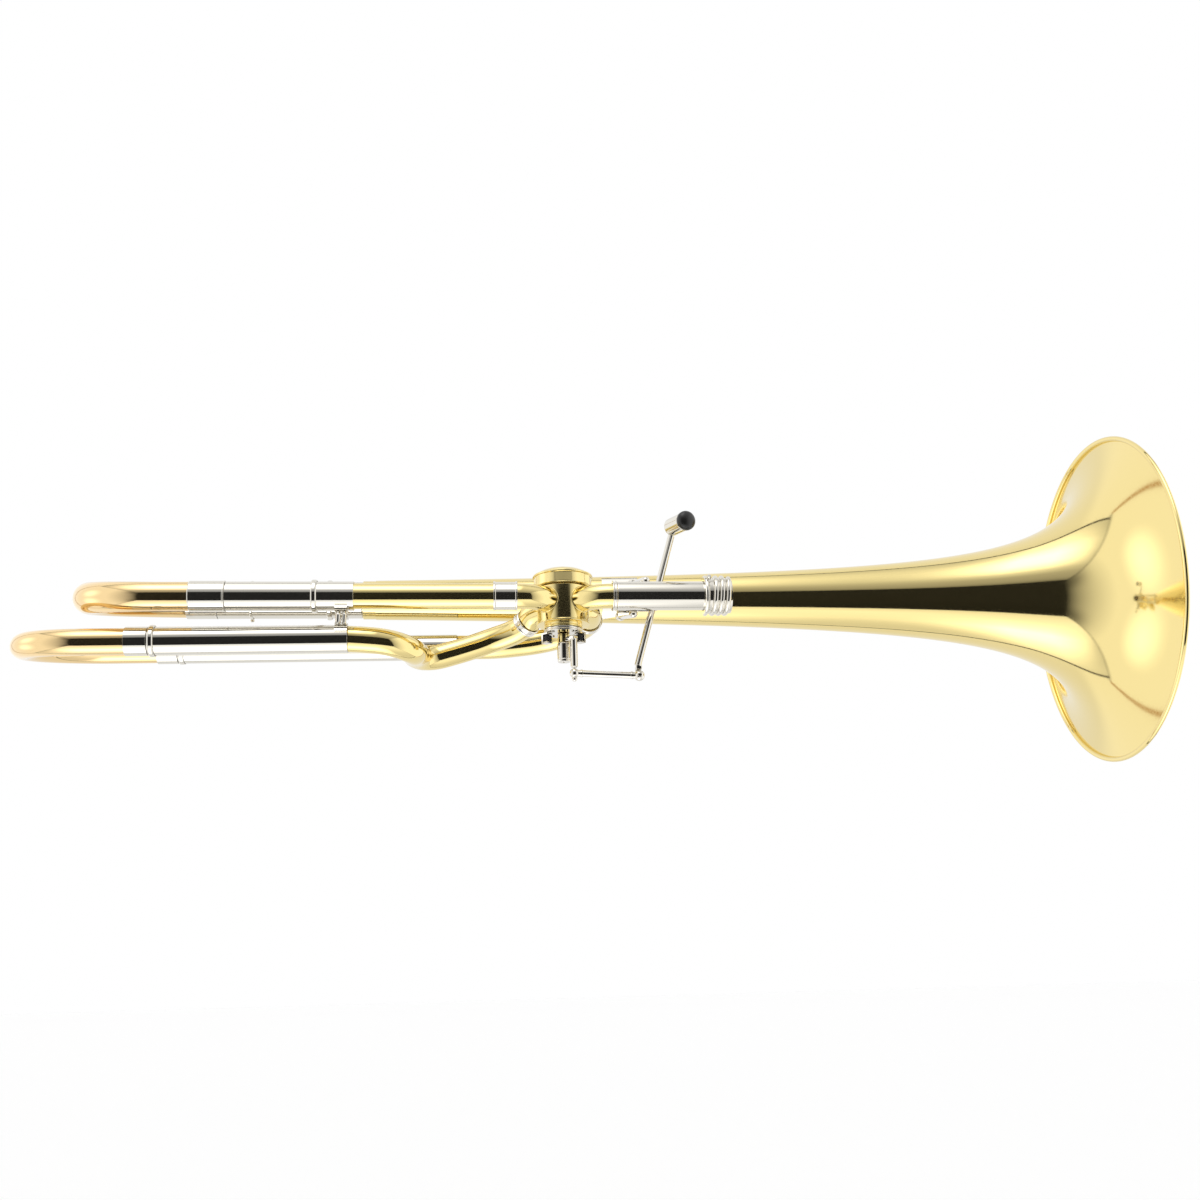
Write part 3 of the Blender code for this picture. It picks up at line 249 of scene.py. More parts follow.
# %% Turning
SHARP = math.radians(32.0)
NEARLY_STRAIGHT = 0.12
WELD = 1e-6


def soften(outline, radius, steps=3):
    """Replace the corners of a closed outline by arcs, except corners on the axis."""
    points = [Vector((r, z, 0.0)) for r, z in outline]
    softened = []
    for index, corner in enumerate(points):
        into = points[index - 1] - corner
        out = points[(index + 1) % len(points)] - corner
        reach = min(radius, into.length * 0.45, out.length * 0.45)
        on_axis = corner.x <= 1e-9
        doubled = into.length < 1e-9 or out.length < 1e-9
        if on_axis or doubled or into.angle(-out, 0.0) < NEARLY_STRAIGHT:
            softened.append((corner.x, corner.y))
            continue
        start = corner + into.normalized() * reach
        stop = corner + out.normalized() * reach
        for step in range(steps + 1):
            t = step / steps
            point = start * (1 - t) ** 2 + corner * 2 * t * (1 - t) + stop * t ** 2
            softened.append((max(0.0, point.x), point.y))
    return softened


def hold_runs(points, inset=0.4 * MM):
    """Add a point near both ends of each long run of a closed outline."""
    held = []
    for index, here in enumerate(points):
        start, stop = Vector(here), Vector(points[(index + 1) % len(points)])
        held.append(here)
        length = (stop - start).length
        if length > 4 * inset:
            held.append(tuple(start.lerp(stop, inset / length)))
            held.append(tuple(stop.lerp(start, inset / length)))
    return held


def add_object(name, data):
    """Put data into the scene as an object at the origin."""
    item = bpy.data.objects.new(name, data)
    bpy.context.scene.collection.objects.link(item)
    return item


def settle(item, material, matrix=None):
    """The object's evaluated shape as a welded mesh in its final place, faces outwards."""
    bpy.context.view_layer.update()
    depsgraph = bpy.context.evaluated_depsgraph_get()
    mesh = bpy.data.meshes.new_from_object(item.evaluated_get(depsgraph))
    name = item.name
    bpy.data.objects.remove(item, do_unlink=True)
    work = bmesh.new()
    work.from_mesh(mesh)
    bmesh.ops.remove_doubles(work, verts=work.verts, dist=WELD)
    bmesh.ops.recalc_face_normals(work, faces=work.faces)
    work.to_mesh(mesh)
    work.free()
    if matrix is not None:
        mesh.transform(matrix)
    mesh.materials.clear()
    mesh.materials.append(material)
    mesh.shade_smooth()
    mesh.set_sharp_from_angle(angle=SHARP)
    return add_object(name, mesh)


def turned(name, outline, base, axis, material=NICKEL_SILVER, sides=96, edge=0.15):
    """Turn an outline of (radius, distance along) pairs in millimetres about an axis."""
    outline = [(r * MM, z * MM) for r, z in outline]
    closed = outline[0][0] > 0.0
    points = hold_runs(soften(outline, edge * MM)) if edge else outline
    if edge and not closed:
        points = points[:-2]
    edges = [(index, index + 1) for index in range(len(points) - 1)]
    if closed:
        edges.append((len(points) - 1, 0))
    mesh = bpy.data.meshes.new(name)
    mesh.from_pydata([(r, 0.0, z) for r, z in points], edges, [])
    item = add_object(name, mesh)
    sweep = item.modifiers.new("sweep", "SCREW")
    sweep.axis = "Z"
    sweep.steps = sides
    sweep.render_steps = sides
    sweep.use_merge_vertices = True
    sweep.merge_threshold = WELD
    place = Matrix.Translation(base) @ axis.to_track_quat("Z", "Y").to_matrix().to_4x4()
    return settle(item, material, place)


def ring_outline(radius, bore, high, low):
    """The outline of a plain tube or ring."""
    return [(radius, high), (radius, low), (bore, low), (bore, high)]


# %% [markdown]
# A fine piece takes over from one or more nodes of the frame. It rides on the same body, so it
# moves with the same joint. Most pieces are turned and ride on the bell section, so one function
# does both.

# %% Taking over from the frame
made_pieces = {}


def stand_in(piece, *nodes, body="bell_section"):
    """Let a fine piece ride on a body in place of the frame's nodes."""
    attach(piece, body)
    if nodes:
        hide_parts(*nodes)
    made_pieces[piece.name] = len(piece.data.polygons)
    return piece


def fitting(node, name, outline, base=BORE_LINE, axis=ALONG, material=NICKEL_SILVER, sides=96,
            edge=0.15, body="bell_section"):
    """A turned piece that stands in for one node."""
    return stand_in(turned(name, outline, base, axis, material, sides, edge), node, body=body)


def join_as(name, parts):
    """Make several settled meshes into one piece."""
    work = bmesh.new()
    materials = []
    for part in parts:
        before = len(work.faces)
        work.from_mesh(part.data)
        work.faces.ensure_lookup_table()
        material = part.data.materials[0]
        if material not in materials:
            materials.append(material)
        for face in work.faces[before:]:
            face.material_index = materials.index(material)
        bpy.data.objects.remove(part, do_unlink=True)
    mesh = bpy.data.meshes.new(name)
    work.to_mesh(mesh)
    work.free()
    for material in materials:
        mesh.materials.append(material)
    return add_object(name, mesh)


# %% [markdown]
# Bent tube is drawn as a curve with a round bevel, and Solidify gives it its half-millimetre
# wall. A bend in a real bow is a true arc between two straight runs, so the route is built from
# corners with a bend radius at each.

# %% Bending tube
WALL = 0.5


def tube_route(corners, bends, step=math.radians(4.0)):
    """Straight runs from corner to corner, joined by arcs."""
    route = [corners[0]]
    for before, corner, after, bend in zip(corners, corners[1:], corners[2:], bends):
        into = (corner - before).normalized()
        out = (after - corner).normalized()
        turn = into.angle(out)
        start = corner - into * bend * math.tan(turn / 2)
        hinge = into.cross(out).normalized()
        centre = start + hinge.cross(into) * bend
        steps = max(2, round(turn / step))
        for index in range(steps + 1):
            spin = Quaternion(hinge, turn * index / steps)
            point = centre + spin @ (start - centre)
            if (point - route[-1]).length > 0.3 * MM:
                route.append(point)
    route.append(corners[-1])
    return route


def smooth_route(places, split, steps):
    """A smooth curve through the places, cut in two at one of them, with its heading there."""
    tangents = [places[1] - places[0]]
    for before, after in zip(places, places[2:]):
        tangents.append((after - before) / 2)
    tangents.append(places[-1] - places[-2])
    route = [places[0]]
    cut = 0
    for index, (start, stop) in enumerate(zip(places, places[1:])):
        reach = (stop - start).length
        lead = start + tangents[index].normalized() * reach / 3
        trail = stop - tangents[index + 1].normalized() * reach / 3
        route += interpolate_bezier(start, lead, trail, stop, steps + 1)[1:]
        if index + 1 == split:
            cut = len(route) - 1
    return route, cut, tangents[split].normalized()


def pipe(name, route, radii, material, sides=64, wall=WALL):
    """A tube along a route, its radii in millimetres, thin-walled, or solid where wall is 0."""
    if not isinstance(radii, list):
        radii = [radii] * len(route)
    curve = bpy.data.curves.new(name, "CURVE")
    curve.dimensions = "3D"
    curve.bevel_depth = 1.0
    curve.bevel_resolution = sides // 2 - 2
    curve.use_fill_caps = wall == 0
    spline = curve.splines.new("POLY")
    spline.points.add(len(route) - 1)
    for point, place, radius in zip(spline.points, route, radii):
        point.co = (*place, 1.0)
        point.radius = radius * MM
    made = settle(add_object(name, curve), material)
    if wall:
        sheet = made.modifiers.new("wall", "SOLIDIFY")
        sheet.thickness = wall * MM
        sheet.offset = -1.0
        made = settle(made, material)
    return made


# %% [markdown]
# Geometry Nodes trees are built by two small functions. The first makes a tree with named
# inputs. The second runs it on an empty mesh and keeps the result as a plain mesh, because a
# modifier's instances would not reach the exported model.

# %% Running Geometry Nodes
FLOAT, COUNT = "NodeSocketFloat", "NodeSocketInt"


def new_tree(name, inputs):
    """A Geometry Nodes tree with named number inputs, a material input and a geometry output."""
    tree = bpy.data.node_groups.new(name, "GeometryNodeTree")
    for label, kind, value in inputs:
        tree.interface.new_socket(label, in_out="INPUT", socket_type=kind).default_value = value
    tree.interface.new_socket("Material", in_out="INPUT", socket_type="NodeSocketMaterial")
    tree.interface.new_socket("Geometry", in_out="OUTPUT", socket_type="NodeSocketGeometry")
    return tree, add_node(tree, "NodeGroupInput"), add_node(tree, "NodeGroupOutput")


def close_tree(tree, geometry, given, result):
    """End a tree in Realize Instances and Set Material."""
    real = add_node(tree, "GeometryNodeRealizeInstances", Geometry=geometry)
    painted = add_node(tree, "GeometryNodeSetMaterial", Geometry=real.outputs["Geometry"],
                       Material=given.outputs["Material"])
    tree.links.new(painted.outputs["Geometry"], result.inputs["Geometry"])
    print(tree.name, "has", len(tree.nodes), "nodes")


def run_tree(name, tree, values, material, matrix):
    """Run a tree with these input values and keep what it makes as a plain mesh."""
    item = add_object(name, bpy.data.meshes.new(name))
    modifier = item.modifiers.new("tree", "NODES")
    modifier.node_group = tree
    values = {**values, "Material": material}
    for socket in tree.interface.items_tree:
        if socket.in_out == "INPUT":
            modifier[socket.identifier] = values[socket.name]
    return settle(item, material, matrix)


# %% [markdown]
# The bell is the main piece, and its shape follows a rule. A horn's radius grows as a negative
# power of the distance back from its mouth, so it is nearly a cylinder at the tail and almost a
# disc at the rim. A grid is bent into that shape: one side of the grid runs along the horn,
# crowded towards the mouth where the flare is quick, and the other side runs round it.

# %% The bell's rule as a tree
BELL_TAIL_X = -0.2206
BELL_MOUTH_X = 0.2748
BELL_MOUTH_R = 0.1090
BELL_STEM_R = 0.0044
BELL_FLARE_DEPTH = 0.02128
BELL_FLARE_POWER = 0.8118
CROWDING = 2.6

bell_tree, given, result = new_tree("horn_flare", [
    ("Mouth Radius", FLOAT, 0.1), ("Stem Radius", FLOAT, 0.005), ("Flare Depth", FLOAT, 0.02),
    ("Flare Power", FLOAT, 0.8), ("First Depth", FLOAT, 0.0), ("Last Depth", FLOAT, 0.5),
    ("Stations", COUNT, 100), ("Sides", COUNT, 128)])
mouth, stem, quickness, power, first, last = number(
    bell_tree, given, "Mouth Radius", "Stem Radius", "Flare Depth", "Flare Power", "First Depth",
    "Last Depth")
sheet = add_node(bell_tree, "GeometryNodeMeshGrid", {"Size X": 1.0, "Size Y": 1.0},
                 **{"Vertices X": given.outputs["Stations"], "Vertices Y": given.outputs["Sides"]})
where = add_node(bell_tree, "GeometryNodeInputPosition")
where = add_node(bell_tree, "ShaderNodeSeparateXYZ", Vector=where.outputs["Position"])
share, turn = number(bell_tree, where, "X", "Y")
depth = (share + 0.5) ** CROWDING * (last - first) + first
radius = (mouth - stem) * (depth / quickness + 1.0) ** (power * -1.0) + stem
turn = (turn + 0.5) * (2 * math.pi)
point = add_node(bell_tree, "ShaderNodeCombineXYZ", X=depth * -1.0,
                 Y=radius * turn.math("COSINE", turn), Z=radius * turn.math("SINE", turn))
shaped = add_node(bell_tree, "GeometryNodeSetPosition", Geometry=sheet.outputs["Mesh"],
                  Position=point.outputs["Vector"])
closed = add_node(bell_tree, "GeometryNodeMergeByDistance", {"Distance": WELD},
                  Geometry=shaped.outputs["Geometry"])
close_tree(bell_tree, closed.outputs["Geometry"], given, result)


# %% [markdown]
# Solidify gives the spun sheet its wall. The rim is rolled back over a wire, which leaves a
# round bead behind the edge, and the tail ends in a short socket that the slide tube enters.

# %% The bell
def bell_radius(x):
    """The bell's radius at a place along the horn, by the same rule."""
    flare = (1 + (BELL_MOUTH_X - x) / BELL_FLARE_DEPTH) ** -BELL_FLARE_POWER
    return BELL_STEM_R + (BELL_MOUTH_R - BELL_STEM_R) * flare


sheet = run_tree("bell_sheet", bell_tree, {
    "Mouth Radius": BELL_MOUTH_R, "Stem Radius": BELL_STEM_R, "Flare Depth": BELL_FLARE_DEPTH,
    "Flare Power": BELL_FLARE_POWER, "First Depth": 0.45 * MM,
    "Last Depth": BELL_MOUTH_X - BELL_TAIL_X - 8 * MM, "Stations": 150, "Sides": 193},
    YELLOW_BRASS, Matrix.Translation(BELL_LINE + ALONG * BELL_MOUTH_X))
wall = sheet.modifiers.new("wall", "SOLIDIFY")
wall.thickness = WALL * MM
wall.offset = 0.0
sheet = settle(sheet, YELLOW_BRASS)
BEAD_R, BEAD_SIDES = 1.6, 16
bead = []
for index in range(BEAD_SIDES):
    angle = 2 * math.pi * index / BEAD_SIDES
    bead.append((BELL_MOUTH_R / MM - BEAD_R + BEAD_R * math.sin(angle),
                 BELL_MOUTH_X / MM - BEAD_R + BEAD_R * math.cos(angle)))
bead = turned("bell_bead", bead, BELL_LINE, ALONG, YELLOW_BRASS, 192, 0)
tail = BELL_TAIL_X / MM
socket = turned("bell_socket", ring_outline(12.3, 11.65, tail + 9, tail), BELL_LINE, ALONG,
                YELLOW_BRASS)
stand_in(join_as("spun_bell", [sheet, bead, socket]), "bell", "bell_rim_wire")
print("bell:", made_pieces["spun_bell"], "faces, stem radius at the brace",
      round(bell_radius(-0.057) * 1000, 1), "mm")


# %% [markdown]
# The hand slide plugs into the receiver, and its lock ring screws over the collar's coarse
# thread. A thread is one ridge that climbs as it goes round, so it is a spiral curve swept by
# the ridge's section. The same tree could cut any pitch.

# %% The thread's spiral as a tree
thread_tree, given, result = new_tree("screw_ridge", [
    ("Radius", FLOAT, 0.01), ("Pitch", FLOAT, 0.003), ("Turns", FLOAT, 3.0),
    ("Ridge", FLOAT, 0.001)])
pitch, turns = number(thread_tree, given, "Pitch", "Turns")
spiral = add_node(thread_tree, "GeometryNodeCurveSpiral", {"Resolution": 96},
                  Rotations=turns, Height=pitch * turns,
                  **{"Start Radius": given.outputs["Radius"],
                     "End Radius": given.outputs["Radius"]})
section = add_node(thread_tree, "GeometryNodeCurvePrimitiveCircle", {"Resolution": 20},
                   Radius=given.outputs["Ridge"])
ridge = add_node(thread_tree, "GeometryNodeCurveToMesh", {"Fill Caps": True},
                 Curve=spiral.outputs["Curve"], **{"Profile Curve": section.outputs["Curve"]})
close_tree(thread_tree, ridge.outputs["Mesh"], given, result)


# %% [markdown]
# The receiver is a nickel tube with a slight taper inside its mouth. The threaded collar is
# turned with a beaded flange behind the thread, and a small pin keeps the hand slide from
# turning in it.

# %% The receiver
CORE_R, PITCH = 10.4, 3.7
core = turned("collar_core", [
    (CORE_R, 0.0), (CORE_R, -13.4), (11.2, -13.7), (11.8, -14.2), (12.0, -14.9), (11.8, -15.6),
    (11.2, -16.1), (8.8, -16.1), (8.8, 0.0)], BORE_LINE, ALONG, NICKEL_SILVER, 128)
turn_to_bore = ALONG.to_track_quat("Z", "Y").to_matrix().to_4x4()
ridge = run_tree("collar_ridge", thread_tree, {
    "Radius": CORE_R * MM, "Pitch": PITCH * MM, "Turns": 2.7, "Ridge": 1.55 * MM},
    NICKEL_SILVER, Matrix.Translation((-11.7 * MM, 0, 0)) @ turn_to_bore)
stand_in(join_as("receiver_collar", [core, ridge]), "slide_receiver_thread")
fitting("slide_receiver_tube", "receiver_tube", [
    (8.5, 0.0), (8.5, -67.2), (7.75, -67.2), (7.75, -66.3), (6.95, -66.3), (6.95, -45), (7.5, 0.0)])
pin_angle = math.radians(56)
fitting("receiver_key_pin", "locating_pin", [(0.0, 14.0), (1.2, 14.0), (1.2, 11.8), (0.0, 11.8)],
        ALONG * -13.6 * MM, UP * math.sin(pin_angle) - ACROSS * math.cos(pin_angle), sides=32)
print("receiver thread of", PITCH, "mm pitch,", made_pieces["receiver_collar"], "faces")


# %% [markdown]
# Between the receiver and the main slide the bore passes a double-beaded ferrule, the two
# knuckles of the valve, a plain ferrule with a raised band at each end, and the long gold
# gooseneck. It then enters the shoulder of the nickel outer slide tube.

# %% The neck line
fitting("neckpipe_ferrule", "neckpipe_beads", [
    (8.9, -67.5), (8.9, -68.0), (8.5, -68.1), (8.5, -69.2), (8.9, -69.3), (8.9, -69.9),
    (7.8, -69.9), (7.8, -67.5)], edge=0.1)
fitting("gooseneck_ferrule", "gooseneck_band", [
    (8.6, -125.5), (8.6, -126.5), (8.25, -126.7), (8.25, -138.2), (8.6, -138.4), (8.6, -139.4),
    (7.85, -139.4), (7.85, -125.5)])
fitting("gooseneck_tube", "gooseneck", ring_outline(7.55, 7.05, -132.6, -223.0),
        material=YELLOW_BRASS)
fitting("neck_slide_tube", "neck_outer_slide", [
    (8.55, -219.4), (8.55, -291.6), (8.15, -291.6), (8.15, -224.3), (7.85, -224.3),
    (7.85, -219.4)])
print("gooseneck:", made_pieces["gooseneck"], "faces")


# %% [markdown]
# The bell's outer slide tube is wider than the neck's. A beaded collar on each carries the
# cross brace, whose ends spread into small flanges where they are soldered on.

# %% Outer slide tube, collars and cross brace
def collar(name, node, bore, base, axis=ALONG, proud=0.8):
    """A rounded collar soldered round a tube, proud of it."""
    outline = [(bore + proud * 0.45, 1.6), (bore + proud, 0.9), (bore + proud, -0.9),
               (bore + proud * 0.45, -1.6), (bore, -1.6), (bore, 1.6)]
    fitting(node, name, outline, base, axis, edge=0.4)


fitting("bell_slide_tube", "bell_outer_slide", [
    (11.35, -215.5), (11.35, -221.0), (11.7, -221.3), (11.7, -311.5), (11.2, -311.5),
    (11.2, -222.2), (10.85, -222.2), (10.85, -215.5)], BELL_LINE)
brace_at = ALONG * -0.2418
collar("bell_brace_collar", "bell_slide_collar", 12.0, BELL_LINE + brace_at)
collar("neck_brace_collar", "neck_slide_collar", 8.85, brace_at)
bead_at = BELL_LINE + ALONG * -0.2905
bead = turned("slide_bead_ring", [
    (12.2, 0.9), (12.5, 0.4), (12.5, -0.4), (12.2, -0.9), (12.0, -0.9), (12.0, 0.9)],
    bead_at, ALONG)
bead_pin = turned("slide_bead_pin", [(0.0, 13.9), (0.8, 13.8), (1.3, 13.3), (1.3, 12.2),
                                     (0.0, 12.2)], bead_at, -UP, sides=24)
stand_in(join_as("slide_bead", [bead, bead_pin]), "bell_slide_bead")
near_end, far_end = 9.95, 77.1
brace = []
for index in range(25):
    share = index / 24
    spread = 1.8 * (math.exp(-(share * 20) ** 1.2) + math.exp(-((1 - share) * 20) ** 1.2))
    brace.append((2.2 + spread, far_end - share * (far_end - near_end)))
brace = [(0.0, brace[0][1])] + brace + [(0.0, brace[-1][1])]
fitting("slide_cross_brace", "cross_brace", brace, brace_at, ACROSS, sides=48, edge=0)
print("outer slide tubes", round(BELL_LINE.y / MM), "mm apart, braced at x",
      round(brace_at.x / MM, 1), "mm")


# %% [markdown]
# The main tuning slide is the crook at the back. Its bow is conical: the bore grows from the
# neck leg to the bell leg all the way round the bend. A ferrule joins each leg to the hard
# nickel inner tube that slides in the outer one.

# %% The main tuning slide
def bow_radii(route, first, last):
    """Radii that grow along the bend and stay level on the straight ends."""
    lengths = [0.0]
    for before, after in zip(route, route[1:]):
        lengths.append(lengths[-1] + (after - before).length)
    start, stop = lengths[1], lengths[-2]
    return [first + (last - first) * min(1.0, max(0.0, (length - start) / (stop - start)))
            for length in lengths]


main_slide = {"body": "main_tuning_slide"}
bend = BELL_LINE.y / 2
corner_x = -0.3328 - bend
corners = [Vector((-0.3051, 0, 0)), Vector((corner_x, 0, 0)), Vector((corner_x, 2 * bend, 0)),
           Vector((-0.3222, 2 * bend, 0))]
route = tube_route(corners, [bend, bend])
stand_in(pipe("main_crook", route, bow_radii(route, 8.4, 10.9), ROSE_BRASS), "main_bow",
         **main_slide)
fitting("main_neck_inner_tube", "neck_inner_slide", ring_outline(7.8, 7.3, -224.9, -303.9),
        **main_slide)
fitting("main_bell_inner_tube", "bell_inner_slide", ring_outline(10.9, 10.4, -222.8, -321.6),
        BELL_LINE, **main_slide)
fitting("main_neck_ferrule", "neck_crook_ferrule", [
    (8.9, -291.9), (9.1, -292.1), (9.1, -292.7), (8.95, -292.9), (8.95, -311.6), (8.75, -312.2),
    (8.7, -312.2), (8.7, -304.5), (8.1, -304.5), (8.1, -291.9)], **main_slide)
fitting("main_bell_ferrule", "bell_crook_ferrule", [
    (11.85, -311.8), (11.85, -312.6), (11.75, -312.8), (11.75, -330.7), (11.2, -330.7),
    (11.2, -311.8)], BELL_LINE, **main_slide)
print("main crook:", made_pieces["main_crook"], "faces")


# %% [markdown]
# The F attachment adds about a metre of smaller tubing. Its own slide is a cylindrical bow on
# two nickel legs, and the legs rise slightly towards the valve.

# %% The F slide
spacing = (f_leg("far", -0.3723) - f_leg("near", -0.3723)).length
bend = spacing / 2 * 0.9995
corner_x = -0.3723 - bend
corners = [f_leg("near", -0.3436), f_leg("near", corner_x), f_leg("far", corner_x),
           f_leg("far", -0.3436)]
stand_in(pipe("f_crook", tube_route(corners, [bend, bend]), 7.6, ROSE_BRASS), "f_bow",
         body="f_tuning_slide")
joint, low = along_f(-0.3345), along_f(-0.3474)
high = joint - 0.3
for side, end_x, proud in (("near", -0.2228, 0.8), ("far", -0.1611, 0.35)):
    leg = {"base": f_leg(side, F_MIDDLE_X), "axis": F_AXIS}
    fitting(f"f_{side}_slide_tube", f"f_{side}_outer_slide",
            [(8.15, along_f(end_x)), (8.15, joint), (7.62, joint), (7.62, along_f(end_x))], **leg)
    collar(f"f_{side}_end_collar", f"f_{side}_slide_collar", 8.45, f_leg(side, -0.3325), F_AXIS,
           proud)
    fitting(f"f_{side}_inner_tube", f"f_{side}_inner_slide",
            ring_outline(7.3, 6.8, along_f(-0.229), along_f(-0.3436) + 0.6),
            body="f_tuning_slide", **leg)
    fitting(f"f_{side}_bow_ferrule", f"f_{side}_crook_ferrule",
            [(8.2, high), (8.3, high - 0.3), (8.3, low), (7.9, low), (7.9, high)],
            body="f_tuning_slide", **leg)
print("F slide legs", round(spacing * 1000, 1), "mm apart")


# %% [markdown]
# Two gold tubes bring the F slide's air to the valve's back ports. They weave under and behind
# the bore line, so their routes are smooth curves through places measured along them. A short
# ferrule joins each to its valve knuckle.

# %% The F tubing
def port_heading(side_u, side_v):
    """The direction of one of the valve's four ports."""
    return (ALONG * side_u + VALVE_ACROSS * side_v).normalized()


def port_place(side_u, side_v, distance):
    """A place on one of the valve's port axes, at a distance from the rotor's axis."""
    return VALVE + port_heading(side_u, side_v) * distance


under = [(-212.8, 0.2, -25.2), (-204.0, 1.0, -26.1), (-196.0, 3.6, -27.9), (-189.5, 9.0, -30.3),
         (-186.1, 17.2, -32.3), (-185.5, 26.5, -33.5), (-185.0, 35.5, -34.9),
         (-181.2, 44.0, -36.3), (-173.5, 48.0, -36.1), (-163.4, 48.8, -33.6),
         (-150.4, 48.7, -29.7), (-139.0, 48.0, -25.8), (-125.2, 43.4, -20.6),
         (-118.8, 38.5, -16.0), (-115.0, 34.2, -10.3)]
behind = [(-115.4, 83.6, -28.1), (-101.4, 81.5, -25.5), (-89.6, 74.5, -21.8),
          (-81.9, 64.0, -17.8), (-79.3, 52.0, -13.8), (-80.5, 40.5, -10.2)]
runs = {
    "return": ([f_leg("near", -0.2225)], under, -1, (0.0165, 0.0135), 14),
    "feed": ([f_leg("far", -0.1608), f_leg("far", -0.1374)], behind, 1, (0.0175, 0.0135), 6)}
BAND = [(8.15, 2.4), (8.5, 2.0), (8.5, 1.2), (8.2, 0.9), (8.2, -0.9), (8.5, -1.2), (8.5, -2.0),
        (8.15, -2.4), (7.9, -2.4), (7.9, 2.4)]
gap, square = 0.3 * MM, 2.6 * MM
for name, (first, between, side, last, split) in runs.items():
    places = first + [Vector(place) * MM for place in between]
    places += [port_place(side, 1, distance) for distance in last]
    route, cut, heading = smooth_route(places, split, 8)
    tube = [places[0] - F_AXIS * 4 * MM, places[0] - F_AXIS * gap] + route[:cut - 3]
    tube += [route[cut] - heading * square, route[cut] - heading * gap]
    radii = [7.3] * 2 + [7.6] * (len(tube) - 2)
    stand_in(pipe(f"f_{name}_branch", tube, radii, YELLOW_BRASS), f"f_{name}_tube")
    bend = [route[cut] + heading * gap, route[cut] + heading * square] + route[cut + 4:]
    stand_in(pipe(f"f_{name}_valve_knuckle", bend, 7.4, YELLOW_BRASS), f"f_{name}_knuckle")
    fitting(f"f_{name}_ferrule", f"f_{name}_band", BAND, route[cut], heading)
    length = sum((b - a).length for a, b in zip(route, route[1:]))
    print(f"f_{name}_branch is", round(length / MM), "mm long")


# %% [markdown]
# The rotary valve's casing is turned brass with four ports. Where each knuckle is silver
# soldered to it, a fillet of solder rounds the corner. The fillet follows the line where two
# cylinders meet, which a short formula gives.

# %% Casing, knuckles and solder lines
CASING_R, PORT_R = 15.25, 7.55
fillets = [turned("casing_body", [
    (14.75, 14.5), (14.75, 9.1), (CASING_R, 8.9), (CASING_R, -12.2), (15.5, -12.4), (15.5, -13.1),
    (11.45, -13.3), (11.45, -14.2), (11.2, -14.4), (11.45, -14.6), (11.45, -15.6), (3.4, -15.6),
    (3.4, -10.9), (13.6, -10.9), (13.6, 14.5)], VALVE, VALVE_UP, YELLOW_BRASS, 128)]
for side_u, side_v in ((-1, -1), (1, -1), (-1, 1), (1, 1)):
    heading = port_heading(side_u, side_v)
    side = VALVE_UP.cross(heading)
    loop = []
    for index in range(65):
        angle = 2 * math.pi * index / 64
        across = PORT_R * MM * math.cos(angle)
        reach = math.sqrt((CASING_R * MM) ** 2 - across ** 2)
        loop.append(VALVE + heading * reach + side * across
                    + VALVE_UP * PORT_R * MM * math.sin(angle))
    fillets.append(pipe("solder_fillet", loop, 0.45, YELLOW_BRASS, 12, 0))
stand_in(join_as("valve_body", fillets), "valve_casing")
KNUCKLE_BEND_R = 22.3 * MM
corner_run = 16.5 * MM + KNUCKLE_BEND_R * math.tan(math.radians(22.5))
for name, side, end_x in (("gooseneck_knuckle", -1, -0.132), ("neckpipe_knuckle", 1, -0.0671)):
    corner = port_place(side, -1, corner_run)
    corners = [port_place(side, -1, 13.5 * MM), corner, Vector((end_x, corner.y, corner.z))]
    stand_in(pipe(name + "_bend", tube_route(corners, [KNUCKLE_BEND_R]), 7.4, YELLOW_BRASS), name)
print("casing", 2 * CASING_R, "mm across, with", len(fillets) - 1, "solder lines")


# %% [markdown]
# The cap screws over the casing's neck and hides the back bearing. It is turned from one bar,
# with a shallow crown, a centre boss, a thin lip above and a band that widens downwards.

# %% The valve cap
fitting("valve_cap", "turned_valve_cap", [
    (0.0, 23.2), (1.6, 23.1), (2.5, 22.7), (2.9, 22.1), (3.6, 21.6), (6.0, 21.3), (9.5, 20.6),
    (12.5, 19.7), (14.6, 18.7), (16.2, 17.7), (17.0, 17.1), (17.7, 17.0), (18.0, 16.6),
    (18.0, 15.9), (17.7, 15.7), (17.2, 15.6), (17.2, 15.2), (17.5, 10.0), (17.5, 9.7), (17.2, 9.4),
    (15.05, 9.4), (15.05, 14.8), (0.0, 14.8)], VALVE, VALVE_UP, YELLOW_BRASS, 160, 0.2)
print("valve cap:", made_pieces["turned_valve_cap"], "faces")


# %% [markdown]
# Under the casing the rotor's spindle carries the stop arm. Its hub is brass and its finger and
# post are nickel silver. The arm swings between two rubber bumpers held in nickel holders on the
# stop plate, and the long nut below clamps it.

# %% Stop plate, stop arm and nut
def swing_place(degrees):
    """A direction round the rotor's axis."""
    return (ALONG * math.cos(math.radians(degrees))
            + VALVE_ACROSS * math.sin(math.radians(degrees))).normalized()


def rounded_block(name, size, place, material, edge):
    """A block with rounded edges, its size in millimetres in its own axes."""
    bpy.ops.mesh.primitive_cube_add(size=1.0)
    item = bpy.context.object
    item.name = name
    item.data.transform(Matrix.Diagonal((*(side * MM for side in size), 1.0)))
    bevel = item.modifiers.new("edges", "BEVEL")
    bevel.width = edge * MM
    bevel.segments = 4
    block = settle(item, material)
    for face in block.data.polygons:
        face.use_smooth = max(abs(part) for part in face.normal) < 0.999
    block.data.transform(place)
    return block


def frame_at(centre, first, second, third):
    """A matrix that puts a block's own axes along three directions."""
    return Matrix.Translation(centre) @ Matrix((first, second, third)).transposed().to_4x4()


